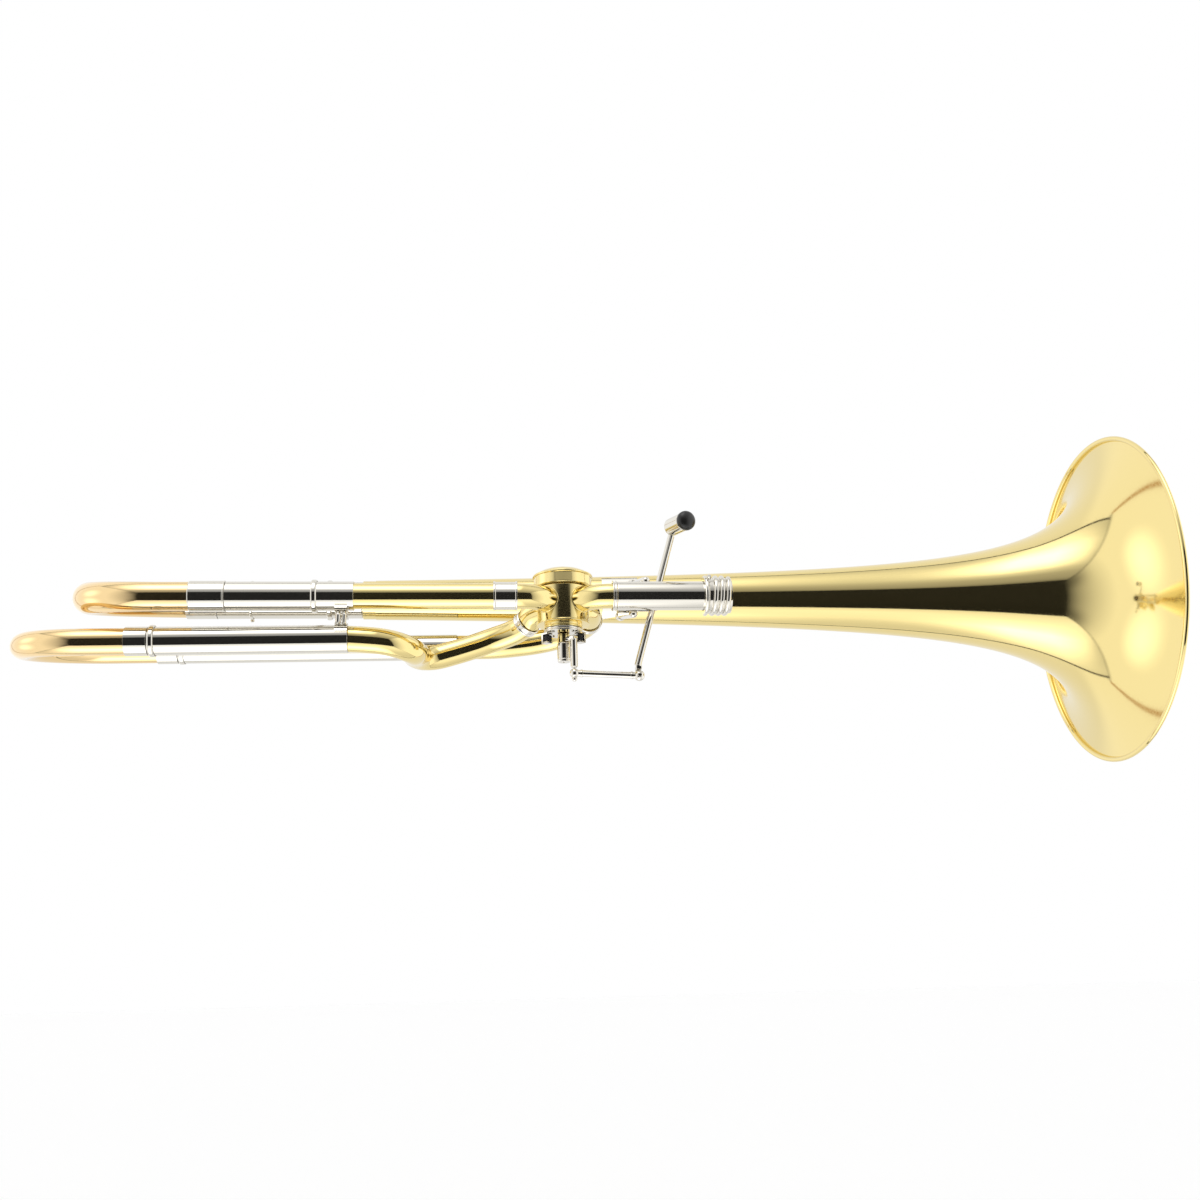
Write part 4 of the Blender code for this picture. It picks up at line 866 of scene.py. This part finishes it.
ARM_DEGREES = -50
ARM_REACH = 0.0085
on_rotor = {"body": "valve_rotor_body"}
fitting("stop_plate", "stop_plate_disc", [
    (11.5, -15.9), (11.5, -16.9), (11.25, -17.1), (11.5, -17.3), (11.5, -18.2), (3.4, -18.2),
    (3.4, -15.9)], VALVE, VALVE_UP)
arm_heading = swing_place(ARM_DEGREES)
arm_side = VALVE_UP.cross(arm_heading)
hub = turned("arm_hub", ring_outline(3.6, 2.7, -18.7, -23.8), VALVE, VALVE_UP, YELLOW_BRASS)
post = turned("arm_post", [(0.0, -22.8), (2.15, -22.8), (2.15, -39.6), (1.5, -40.4),
                           (0.0, -40.4)], VALVE + arm_heading * ARM_REACH, VALVE_UP, sides=48)
finger = rounded_block("arm_finger", (7.4, 4.2, 2.8), frame_at(
    VALVE + arm_heading * 6.6 * MM + VALVE_UP * -22.4 * MM, arm_heading, arm_side, VALVE_UP),
    NICKEL_SILVER, 0.6)
stand_in(join_as("swing_arm", [post, finger]), "stop_arm", **on_rotor)
stand_in(hub, **on_rotor)
fitting("stop_arm_nut", "clamp_nut", [
    (0.0, -24.1), (3.6, -24.1), (3.9, -24.5), (3.9, -33.8), (3.6, -34.1), (3.9, -34.4),
    (3.6, -35.5), (1.4, -35.5), (1.2, -34.9), (0.0, -34.9)], VALVE, VALVE_UP, sides=64,
    **on_rotor)
print("stop arm reaches", ARM_REACH / MM, "mm from the rotor's axis")


# %% [markdown]
# A moulded rubber pad meets the arm at each end of its swing. Real ones are short pieces of
# rubber cord pressed into the holders, so here they are small blocks with well-rounded edges.
# Each stands 4.5 mm off the line that the arm reaches at its limit, on the far side of it.

# %% Bumpers and their holders
for name, degrees, sense in (("right", ARM_DEGREES, 1), ("left", ARM_DEGREES - 90, -1)):
    radial = swing_place(degrees)
    away = VALVE_UP.cross(radial) * sense
    middle = VALVE + radial * 9.0 * MM + away * 4.5 * MM - VALVE_UP * 21.6 * MM
    pad = rounded_block(f"bumper_pad_{name}", (4.2, 3.4, 3.8), frame_at(
        middle - away * 0.4 * MM, radial, away, radial.cross(away)), NITRILE_RUBBER, 0.8)
    stand_in(pad, f"bumper_{name}")
print("bumpers 90 degrees apart")


# %% [markdown]
# The thumb lever is one straight rod through a hinge barrel. Its thumb piece is a short barrel
# with a black end cap, and its foot holds the stud on which the link turns.

# %% The thumb lever
PIVOT_U = -0.0434
LINK_V = 0.0182 + ARM_REACH * math.sin(math.radians(ARM_DEGREES))
LEVER_SLOPE = 0.2877


def lever_place(w):
    """A place on the lever rod's axis, by its height above the hinge."""
    return leaned(PIVOT_U + LEVER_SLOPE * w, LINK_V, w)


def upright_block(name, size, centre, edge):
    """A nickel block that stands square in the valve's leaned frame."""
    return rounded_block(name, size, frame_at(centre, ALONG, VALVE_ACROSS, VALVE_UP),
                         NICKEL_SILVER, edge)


hinge = lever_place(0.0)
high = (lever_place(0.0408) - hinge).length / MM
low = -(lever_place(-0.0394) - hinge).length / MM
joint = leaned(-0.0540, LINK_V, -0.0453)
lever_parts = [
    turned("lever_rod", [(0.0, high), (2.05, high), (2.05, low), (0.0, low)], hinge,
           (lever_place(0.04) - hinge).normalized(), sides=64, edge=0.3),
    turned("lever_barrel", [(3.6, 19.5), (3.6, 10.3), (1.9, 10.3), (1.9, 19.5)],
           leaned(PIVOT_U, 0, 0), VALVE_ACROSS, sides=64, edge=0.3),
    upright_block("lever_foot", (3.6, 1.6, 7.8),
                  joint + VALVE_ACROSS * 4.4 * MM + VALVE_UP * 2.1 * MM, 0.5),
    upright_block("lever_neck", (3.6, 6.0, 2.6),
                  joint + VALVE_ACROSS * 2.6 * MM + VALVE_UP * 5.1 * MM, 0.6),
    turned("lever_stud", [(0.0, 4.0), (1.2, 4.0), (1.2, -3.4), (0.0, -3.4)], joint, VALVE_ACROSS,
           sides=32, edge=0.2)]
on_lever = {"body": "thumb_trigger"}
stand_in(join_as("lever", lever_parts), "trigger_lever", **on_lever)
back = leaned(-0.0313, 0.0131, 0.0467)
front = leaned(-0.0240, -0.0060, 0.0452)
thumb_axis = (front - back).normalized()
end = (front - back).length / MM
fitting("thumb_barrel", "thumb_roll", [
    (0.0, end - 4.0), (5.5, end - 4.0), (5.5, 1.0), (4.5, 0.0), (0.0, 0.0)], back, thumb_axis,
    edge=0.5, **on_lever)
dome = []
for index in range(13):
    angle = math.radians(90 * index / 12)
    dome.append((5.9 * math.sin(angle), end - 1.9 + 3.7 * math.cos(angle)))
dome += [(5.9, end - 2.9), (5.4, end - 3.7), (0.0, end - 3.7)]
fitting("thumb_cap", "thumb_end_cap", dome, back, thumb_axis, BLACK_ACETAL, edge=0, **on_lever)
print("lever rod", round(high - low, 1), "mm long")


# %% [markdown]
# The link is a rod with a ball at each end. The ball joints let it follow the arm's swing,
# which is not in the lever's plane.

# %% The link
def sphere(name, radius, centre):
    """A nickel ball turned from a half circle."""
    outline = [(0.0, radius)]
    for index in range(1, 24):
        angle = math.pi * index / 24
        outline.append((radius * math.sin(angle), radius * math.cos(angle)))
    outline.append((0.0, -radius))
    return turned(name, outline, centre, VALVE_UP, sides=48, edge=0)


left = leaned(-0.0976 + ARM_REACH * math.cos(math.radians(ARM_DEGREES)), LINK_V, -0.0436)
link_axis = (joint - left).normalized()
length = (joint - left).length / MM
link_parts = [turned("link_bar", [(0.0, length), (1.85, length), (1.85, 0.0), (0.0, 0.0)], left,
                     link_axis, sides=48, edge=0)]
for near, far in ((length - 3.6, length - 5.2), (4.9, 3.4)):
    link_parts.append(turned("link_collar", ring_outline(2.2, 1.0, near, far), left, link_axis,
                             sides=48, edge=0.3))
for radius, centre in ((2.85, left), (1.6, left - VALVE_UP * 3.4 * MM), (3.2, joint)):
    link_parts.append(sphere("ball", radius, centre))
stand_in(join_as("link", link_parts), "link_rod", body="trigger_link")
print("link", round(length, 1), "mm between ball centres")


# %% [markdown]
# A light torsion spring on the hinge barrel pushes the lever back. It is one unbroken wire:
# a straight leg, three and a half turns, and another leg.

# %% The return spring
COIL_R, COIL_PITCH, COIL_TURNS, COIL_STEPS = 4.1 * MM, 1.3 * MM, 3.5, 36
pivot = leaned(PIVOT_U, 0.0, 0.0)
coil = []
for index in range(int(COIL_TURNS * COIL_STEPS) + 1):
    angle = math.pi / 2 - 2 * math.pi * index / COIL_STEPS
    coil.append(pivot + VALVE_ACROSS * (14.4 * MM + COIL_PITCH * index / COIL_STEPS)
                + ALONG * COIL_R * math.cos(angle) + VALVE_UP * COIL_R * math.sin(angle))
wire = [coil[0] - ALONG * 11 * MM] + coil + [coil[-1] - ALONG * 9 * MM]
stand_in(pipe("lever_return_spring", wire, 0.4, SPRING_WIRE, 16, 0), "trigger_spring")
print("spring of", COIL_TURNS, "turns")


# %% [markdown]
# The hand holds the horn by a pair of rods between the receiver and the bell. A curved sheet
# saddle spreads the load at each end.

# %% The bell brace
def half_sleeve(name, outline, base, axis, cuts):
    """A turned nickel sleeve of which only what lies past each cut (offset, heading) is left."""
    sleeve = turned(name, outline, base, axis, sides=128, edge=0.1)
    work = bmesh.new()
    work.from_mesh(sleeve.data)
    for offset, toward in cuts:
        bmesh.ops.bisect_plane(work, geom=work.verts[:] + work.edges[:] + work.faces[:],
                               dist=1e-7, plane_co=base + offset, plane_no=-toward,
                               clear_outer=True)
        rims = [edge for edge in work.edges if edge.is_boundary]
        bmesh.ops.holes_fill(work, edges=rims, sides=0)
    bmesh.ops.recalc_face_normals(work, faces=work.faces)
    work.to_mesh(sleeve.data)
    work.free()
    sleeve.data.set_sharp_from_angle(angle=SHARP)
    return sleeve


stand_in(half_sleeve("receiver_saddle", ring_outline(9.8, 8.8, -46.2, -61.2), BORE_LINE, ALONG,
                     [(ACROSS * 4.5 * MM, ACROSS)]), "brace_neck_saddle")
low_x, high_x = -0.0685, -0.0455
inside = []
for step in range(7):
    x = low_x + (high_x - low_x) * step / 6
    inside.append((bell_radius(x) / MM + 0.55, x / MM))
outside = [(radius + 1.0, place) for radius, place in reversed(inside)]
facing = (-ACROSS - UP * 0.22).normalized()
slope = (UP - ALONG * 0.2).normalized()
stand_in(half_sleeve("bell_saddle", outside + inside, BELL_LINE, ALONG, [
    (facing * 6 * MM, facing), (ALONG * low_x - UP * 12.9 * MM, slope)]), "brace_bell_saddle")
ROD_R, rod_near = 2.6, 4.6
for name, x, z in (("upper", -0.0492, 0.0090), ("lower", -0.0566, -0.0103)):
    far = 90 - math.sqrt((bell_radius(x) / MM + 1.3) ** 2 - (z / MM) ** 2)
    outline = [(0.0, far), (3.6, far), (3.4, far - 0.9), (ROD_R, far - 1.9)]
    for step in range(9):
        angle = math.radians(90 * step / 9)
        outline.append((ROD_R * math.cos(angle), rod_near + ROD_R * (1 - math.sin(angle))))
    outline.append((0.0, rod_near))
    fitting(f"brace_{name}_rod", f"{name}_brace_rod", outline, Vector((x, 0, z)), ACROSS,
            sides=64, edge=0.05)
    print(name, "brace rod", round(far - rod_near, 1), "mm long")


# %% [markdown]
# Two short braces hang the F tubing's legs from the main slide's outer tubes. Each is a curved
# foot on either tube with two thin posts between, and the posts lean a little, so that the
# soldered frame can't rack.

# %% The leg braces
def leg_brace(name, node, top, top_radius, low, low_radius):
    """Feet on two tubes, one over the other, and two leaning posts between them."""
    down = (low - top).normalized()
    pieces = []
    for base, axis, radius, toward in ((top, ALONG, top_radius, down),
                                       (low, F_AXIS, low_radius, -down)):
        pieces.append(half_sleeve("foot", ring_outline(radius + 1.0, radius + 0.3, 3.6, -3.6),
                                  base, axis, [(toward * radius * 0.6 * MM, toward)]))
    for first, last, thick in ((-1.5, -2.6, 1.4), (1.9, 1.0, 1.15)):
        start = top + ALONG * first * MM
        lean = low + ALONG * last * MM - start
        near, far = top_radius + 0.5, lean.length / MM - low_radius - 0.5
        pieces.append(turned("post", [
            (0.0, far), (thick * 1.5, far), (thick * 1.2, far - 0.7), (thick, far - 1.4),
            (thick, near + 1.4), (thick * 1.2, near + 0.7), (thick * 1.5, near), (0.0, near)],
            start, lean.normalized(), sides=32, edge=0.1))
    stand_in(join_as(name, pieces), node)


leg_brace("near_leg_brace", "f_neck_brace", ALONG * -0.2265, 8.55, f_leg("near", -0.2265), 8.15)
leg_brace("far_leg_brace", "f_bell_brace", BELL_LINE + ALONG * -0.2340, 11.7,
          f_leg("far", -0.2340), 8.15)
print("leg braces:", made_pieces["near_leg_brace"], "faces each")


# %% [markdown]
# The lever's hinge pin stands on a small plate, sawn from sheet to the outline of its load path:
# a tab under each brace rod and a round end about the pin.

# %% The hinge plate
plate_outline = [(-59.0, -4.2), (-54.2, -4.2), (-53.4, -3.2), (-42.0, -3.4), (-40.0, -1.6),
                 (-39.9, 1.8), (-41.5, 4.4), (-45.6, 13.4), (-52.6, 13.4), (-55.2, 2.2),
                 (-59.0, -1.6)]
mesh = bpy.data.meshes.new("hinge_plate")
mesh.from_pydata([(u * MM, w * MM, 0.0) for u, w in plate_outline], [],
                 [range(len(plate_outline))])
item = add_object("hinge_plate", mesh)
sheet = item.modifiers.new("sheet", "SOLIDIFY")
sheet.thickness = 1.6 * MM
sheet.offset = 0.0
edges = item.modifiers.new("edges", "BEVEL")
edges.width = 0.25 * MM
edges.segments = 3
stand_in(settle(item, NICKEL_SILVER, frame_at(VALVE_ACROSS * 21.8 * MM, ALONG, VALVE_UP,
                                              -VALVE_ACROSS)), "trigger_bracket")
print("hinge plate of", len(plate_outline), "corners")


# %% [markdown]
# Small slotted screws hold the stop plate. They are all one shape, so one screw is instanced on
# a ring of points by Geometry Nodes. The slot is the gap between two half discs.

# %% A ring of screws as a tree
screw_tree, given, result = new_tree("screw_ring", [
    ("Count", COUNT, 3), ("Ring Radius", FLOAT, 0.008), ("Head Radius", FLOAT, 0.001),
    ("Head Height", FLOAT, 0.0005), ("Slot", FLOAT, 0.0003)])
radius, height, slot = number(screw_tree, given, "Head Radius", "Head Height", "Slot")
circle = add_node(screw_tree, "GeometryNodeMeshCircle", Vertices=given.outputs["Count"],
                  Radius=given.outputs["Ring Radius"])
head = add_node(screw_tree, "GeometryNodeMeshCylinder", {"Vertices": 32}, Radius=radius,
                Depth=height)
bar_size = add_node(screw_tree, "ShaderNodeCombineXYZ", X=radius * 2.4, Y=slot, Z=height)
bar = add_node(screw_tree, "GeometryNodeMeshCube", Size=bar_size.outputs["Vector"])
lift = add_node(screw_tree, "ShaderNodeCombineXYZ", Z=height * -0.55)
moved = add_node(screw_tree, "GeometryNodeTransform", Geometry=bar.outputs["Mesh"],
                 Translation=lift.outputs["Vector"])
slotted = add_node(screw_tree, "GeometryNodeMeshBoolean", {"operation": "DIFFERENCE"},
                   in_0=head.outputs["Mesh"], in_1=moved.outputs["Geometry"])
placed = add_node(screw_tree, "GeometryNodeInstanceOnPoints", Points=circle.outputs["Mesh"],
                  Instance=slotted.outputs["Mesh"])
close_tree(screw_tree, placed.outputs["Instances"], given, result)
stand_in(run_tree("plate_screws", screw_tree, {
    "Count": 4, "Ring Radius": 8.6 * MM, "Head Radius": 1.1 * MM, "Head Height": 0.7 * MM,
    "Slot": 0.3 * MM}, NICKEL_SILVER,
    frame_at(VALVE - VALVE_UP * 18.4 * MM, arm_side, -arm_heading, VALVE_UP)))
print("plate screws:", made_pieces["plate_screws"], "faces")


# %% [markdown]
# The remaining nodes of the frame have the right shape already and only take a finish.

# %% Finishes on the frame's own nodes
finishes = {
    "bumper_holder_left": NICKEL_SILVER, "bumper_holder_right": NICKEL_SILVER,
    "trigger_hinge_pin": SPRING_WIRE, "valve_rotor": BEARING_BRASS,
    "rotor_back_bearing": BEARING_BRASS}
for name, material in finishes.items():
    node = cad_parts[name]
    node.data.materials.clear()
    node.data.materials.append(material)
print("finished in place:", len(finishes), "nodes")


# %% [markdown]
# Polished metal shows its surroundings, so the studio is what makes brass look like brass. It is
# a white tent shaped like a box. Its front wall is a dark opening where the camera stands, strip
# lamps hang above and below, and lamps glow through the end walls. A level tube mirrors the
# opening as a black band along its middle and the lamps as bright lines over and under that,
# and the flare mirrors the end wall with its seams. A direction meets a wall by the ratios of
# its parts, so each wall is a mask on such a ratio. Only mirror reflections see the tent. All
# else is lit by a plain white world of strength 1.

# %% The studio
WHITE = (1.0, 1.0, 1.0, 1.0)
BRIGHTEST = 3.2
world = bpy.data.worlds.new("white_tent")
bpy.context.scene.world = world
world.use_nodes = True
tree = world.node_tree
tree.nodes.clear()
direction = add_node(tree, "ShaderNodeTexCoord")
direction = add_node(tree, "ShaderNodeSeparateXYZ", Vector=direction.outputs["Generated"])
dir_x, dir_y, dir_z = number(tree, direction, "X", "Y", "Z")
around = dir_z.math("ARCTAN2", dir_z, dir_y * -1.0)
endwise = dir_x.math("ARCSINE", dir_x)
width, height = abs(dir_x), abs(dir_z)


def level_ramp(angle, stops):
    """Brightness that follows stops of (degrees, level) along an angle."""
    node = add_node(tree, "ShaderNodeValToRGB", Fac=angle / (2 * math.pi) + 0.5)
    ramp = node.color_ramp.elements
    ramp.remove(ramp[-1])
    for index, (degrees, level) in enumerate(stops):
        place = degrees / 360 + 0.5
        stop = ramp[0] if index == 0 else ramp.new(place)
        stop.position = place
        stop.color = (*[level / BRIGHTEST] * 3, 1.0)
    return number(tree, node, "Color") * BRIGHTEST


def change(value, start, stop, low=0.0, high=1.0, kind="SMOOTHSTEP"):
    """A number that goes from low at start to high at stop."""
    node = add_node(tree, "ShaderNodeMapRange", {
        "interpolation_type": kind, "From Min": start, "From Max": stop, "To Min": low,
        "To Max": high}, Value=value)
    return number(tree, node, "Result")


def blend(under, over, mask):
    """One level over another where a mask is 1."""
    return under * (1.0 - mask) + mask * over


def seam(ratio, centre, half):
    """A thin line where a ratio has one value."""
    return change(abs(ratio - centre), half, half * 0.4)


middle = level_ramp(around, [
    (-180, 0.85), (-150, 0.9), (-130, 1.0), (-101, 0.85), (-80, 0.93), (-61, 1.15), (-44, 1.35),
    (-31, 1.05), (31, 0.2), (36, 0.4), (50, 0.58), (60, 0.72), (68, 0.8), (80, 0.98), (92, 1.0),
    (103, 0.85), (112, 0.7), (125, 0.85), (150, 1.0), (180, 0.85)])
lamps = level_ramp(around, [
    (-140, 0.0), (-112, 0.2), (-100, 0.7), (-90, 1.1), (-81, 1.6), (-70, 1.7), (-60, 0.85),
    (-48, 0.15), (-44, 0.0), (46, 0.0), (54, 0.35), (62, 1.3), (70, 2.0), (82, 2.0), (91, 1.4),
    (98, 0.8), (110, 0.55), (150, 0.3), (165, 0.0)])
lamp_length = level_ramp(endwise, [(-40, 0.0), (-14, 1.0), (0, 1.0), (7, 0.3), (10, 0.0)])
straight_back = level_ramp(around, [
    (-180, 0.92), (-150, 0.94), (-125, 0.95), (-110, 1.0), (110, 0.95), (125, 1.0),
    (150, 0.98), (180, 0.92)])
opening = (change(around, math.radians(-31.6), math.radians(-31.0))
           * change(around, math.radians(31.8), math.radians(31.2)))
level = blend(middle + lamps * lamp_length, 0.02, opening)

# Ratios of a direction's parts: how far back on an end wall, how steep, how far back overhead
back = dir_y / width
rise = height / width
steep = width / height
over = dir_y / height - steep * 0.16
post = back + rise * 0.38

# Where each wall is: right of the camera or left, and between which edges
right = change(dir_x, -0.001, 0.001)
front_edge = change(right, 0.0, 1.0, -2.0, -1.54, "LINEAR")
past_front = change(back - front_edge, -0.02, 0.02)
level_enough = change(steep, 0.89, 0.94)
past_back = change(post, 1.08, 1.12)
end_wall = past_front * level_enough * (1.0 - past_back)
back_wall = change(over, 0.35, 0.39) * past_back

# The left end wall is shaded towards its front and has a lamp's glow
left_level = change(back, -1.96, -0.4, 0.06, 1.14, "LINEAR")
shade = change(rise, 0.3, 0.9) * change(back, -0.7, -1.5)
left_level = left_level * (1.0 - shade * 0.45)
off_lamp = add_node(tree, "ShaderNodeCombineXYZ", X=back - 0.15, Y=rise - 0.30)
off_lamp = add_node(tree, "ShaderNodeVectorMath", {"operation": "LENGTH"},
                    in_0=off_lamp.outputs["Vector"])
left_level = left_level + change(number(tree, off_lamp, "Value"), 0.40, 0.0, 0.0, 0.7)
right_level = change(back, -1.54, -0.5, 0.42, 1.3, "LINEAR")
level = blend(level, blend(left_level, right_level, right), end_wall)
toward_left = change(endwise, math.radians(-13), math.radians(-24))
level = blend(level, blend(straight_back, 1.12, toward_left), back_wall)

# Dark seams where cloth meets cloth, and a wooden post in the back corner
overhead_seam = seam(over, 0.37, 0.035) * (1.0 - level_enough)
end_seam = seam(steep, 0.92, 0.05) * past_front * (1.0 - past_back)
level = level * (1.0 - overhead_seam * 0.93) * (1.0 - end_seam * 0.3)
wooden_post = seam(post, 1.10, 0.045) * level_enough
cloth = add_node(tree, "ShaderNodeBackground", {"Color": WHITE}, Strength=level)
wood = add_node(tree, "ShaderNodeBackground", {"Color": linear("#c8a27c"), "Strength": 1.0})
studio = add_node(tree, "ShaderNodeMixShader", Fac=wooden_post,
                  in_1=cloth.outputs["Background"], in_2=wood.outputs["Background"])
plain = add_node(tree, "ShaderNodeBackground", {"Color": WHITE, "Strength": 1.0})
ray = add_node(tree, "ShaderNodeLightPath")
choose = add_node(tree, "ShaderNodeMixShader", Fac=ray.outputs["Is Glossy Ray"],
                  in_1=plain.outputs["Background"], in_2=studio.outputs["Shader"])
add_node(tree, "ShaderNodeOutputWorld", Surface=choose.outputs["Shader"])
print("tent of", len(tree.nodes), "nodes, brightest level", BRIGHTEST)


# %% [markdown]
# The horn hangs in front of white paper and casts no visible shadow, so the pale floor is far
# below it. Mirror reflections pass through the floor to the tent's lower half, so that metal
# shows the background there as well.

# %% Floor
bpy.ops.mesh.primitive_plane_add(size=4.0, location=(0.0, 0.0, -0.75))
floor = bpy.context.object
floor.name = "floor"
material, tree, shader = new_material("white_table", "#fefefe", Roughness=0.9)
clear = add_node(tree, "ShaderNodeBsdfTransparent")
ray = add_node(tree, "ShaderNodeLightPath")
glossy, through = number(tree, ray, "Is Glossy Ray", "Is Transmission Ray")
choose = add_node(tree, "ShaderNodeMixShader", Fac=glossy.math("MAXIMUM", glossy, through),
                  in_1=shader.outputs["BSDF"], in_2=clear.outputs["BSDF"])
tree.links.new(choose.outputs["Shader"], tree.nodes["Material Output"].inputs["Surface"])
floor.data.materials.append(material)
print("floor", round(-floor.location.z, 2), "m below the horn")


# %% [markdown]
# The camera stands about 80 cm in front of the bore line, a little below it and left of the
# valve, and is turned slightly to the right and up.

# %% Camera
CAMERA_AT = (-0.1530, -0.8126, -0.0237)
SENSOR_MM = 36.0
PHOTO_PIXELS, FOCAL_PIXELS = 1200, 1393.7
yaw, pitch, roll = 0.0932, 0.0261, 0.0042
look = Vector((math.sin(yaw) * math.cos(pitch), math.cos(yaw) * math.cos(pitch), math.sin(pitch)))
side = Vector((math.cos(yaw), -math.sin(yaw), 0.0))
top = side.cross(look)
turn = Matrix((side - top * roll, top + side * roll, -look)).transposed().to_4x4()
camera = add_object("camera", bpy.data.cameras.new("camera"))
camera.matrix_world = Matrix.Translation(CAMERA_AT) @ turn
camera.data.sensor_width = SENSOR_MM
camera.data.lens = FOCAL_PIXELS / PHOTO_PIXELS * SENSOR_MM
bpy.context.scene.camera = camera
bpy.context.scene.view_settings.view_transform = "Standard"
print("lens", round(camera.data.lens, 2), "mm")


# %% [markdown]
# The number of fine pieces and of their faces is printed.

# %% Pieces and faces
print("pieces:", len(made_pieces), "faces:", sum(made_pieces.values()))
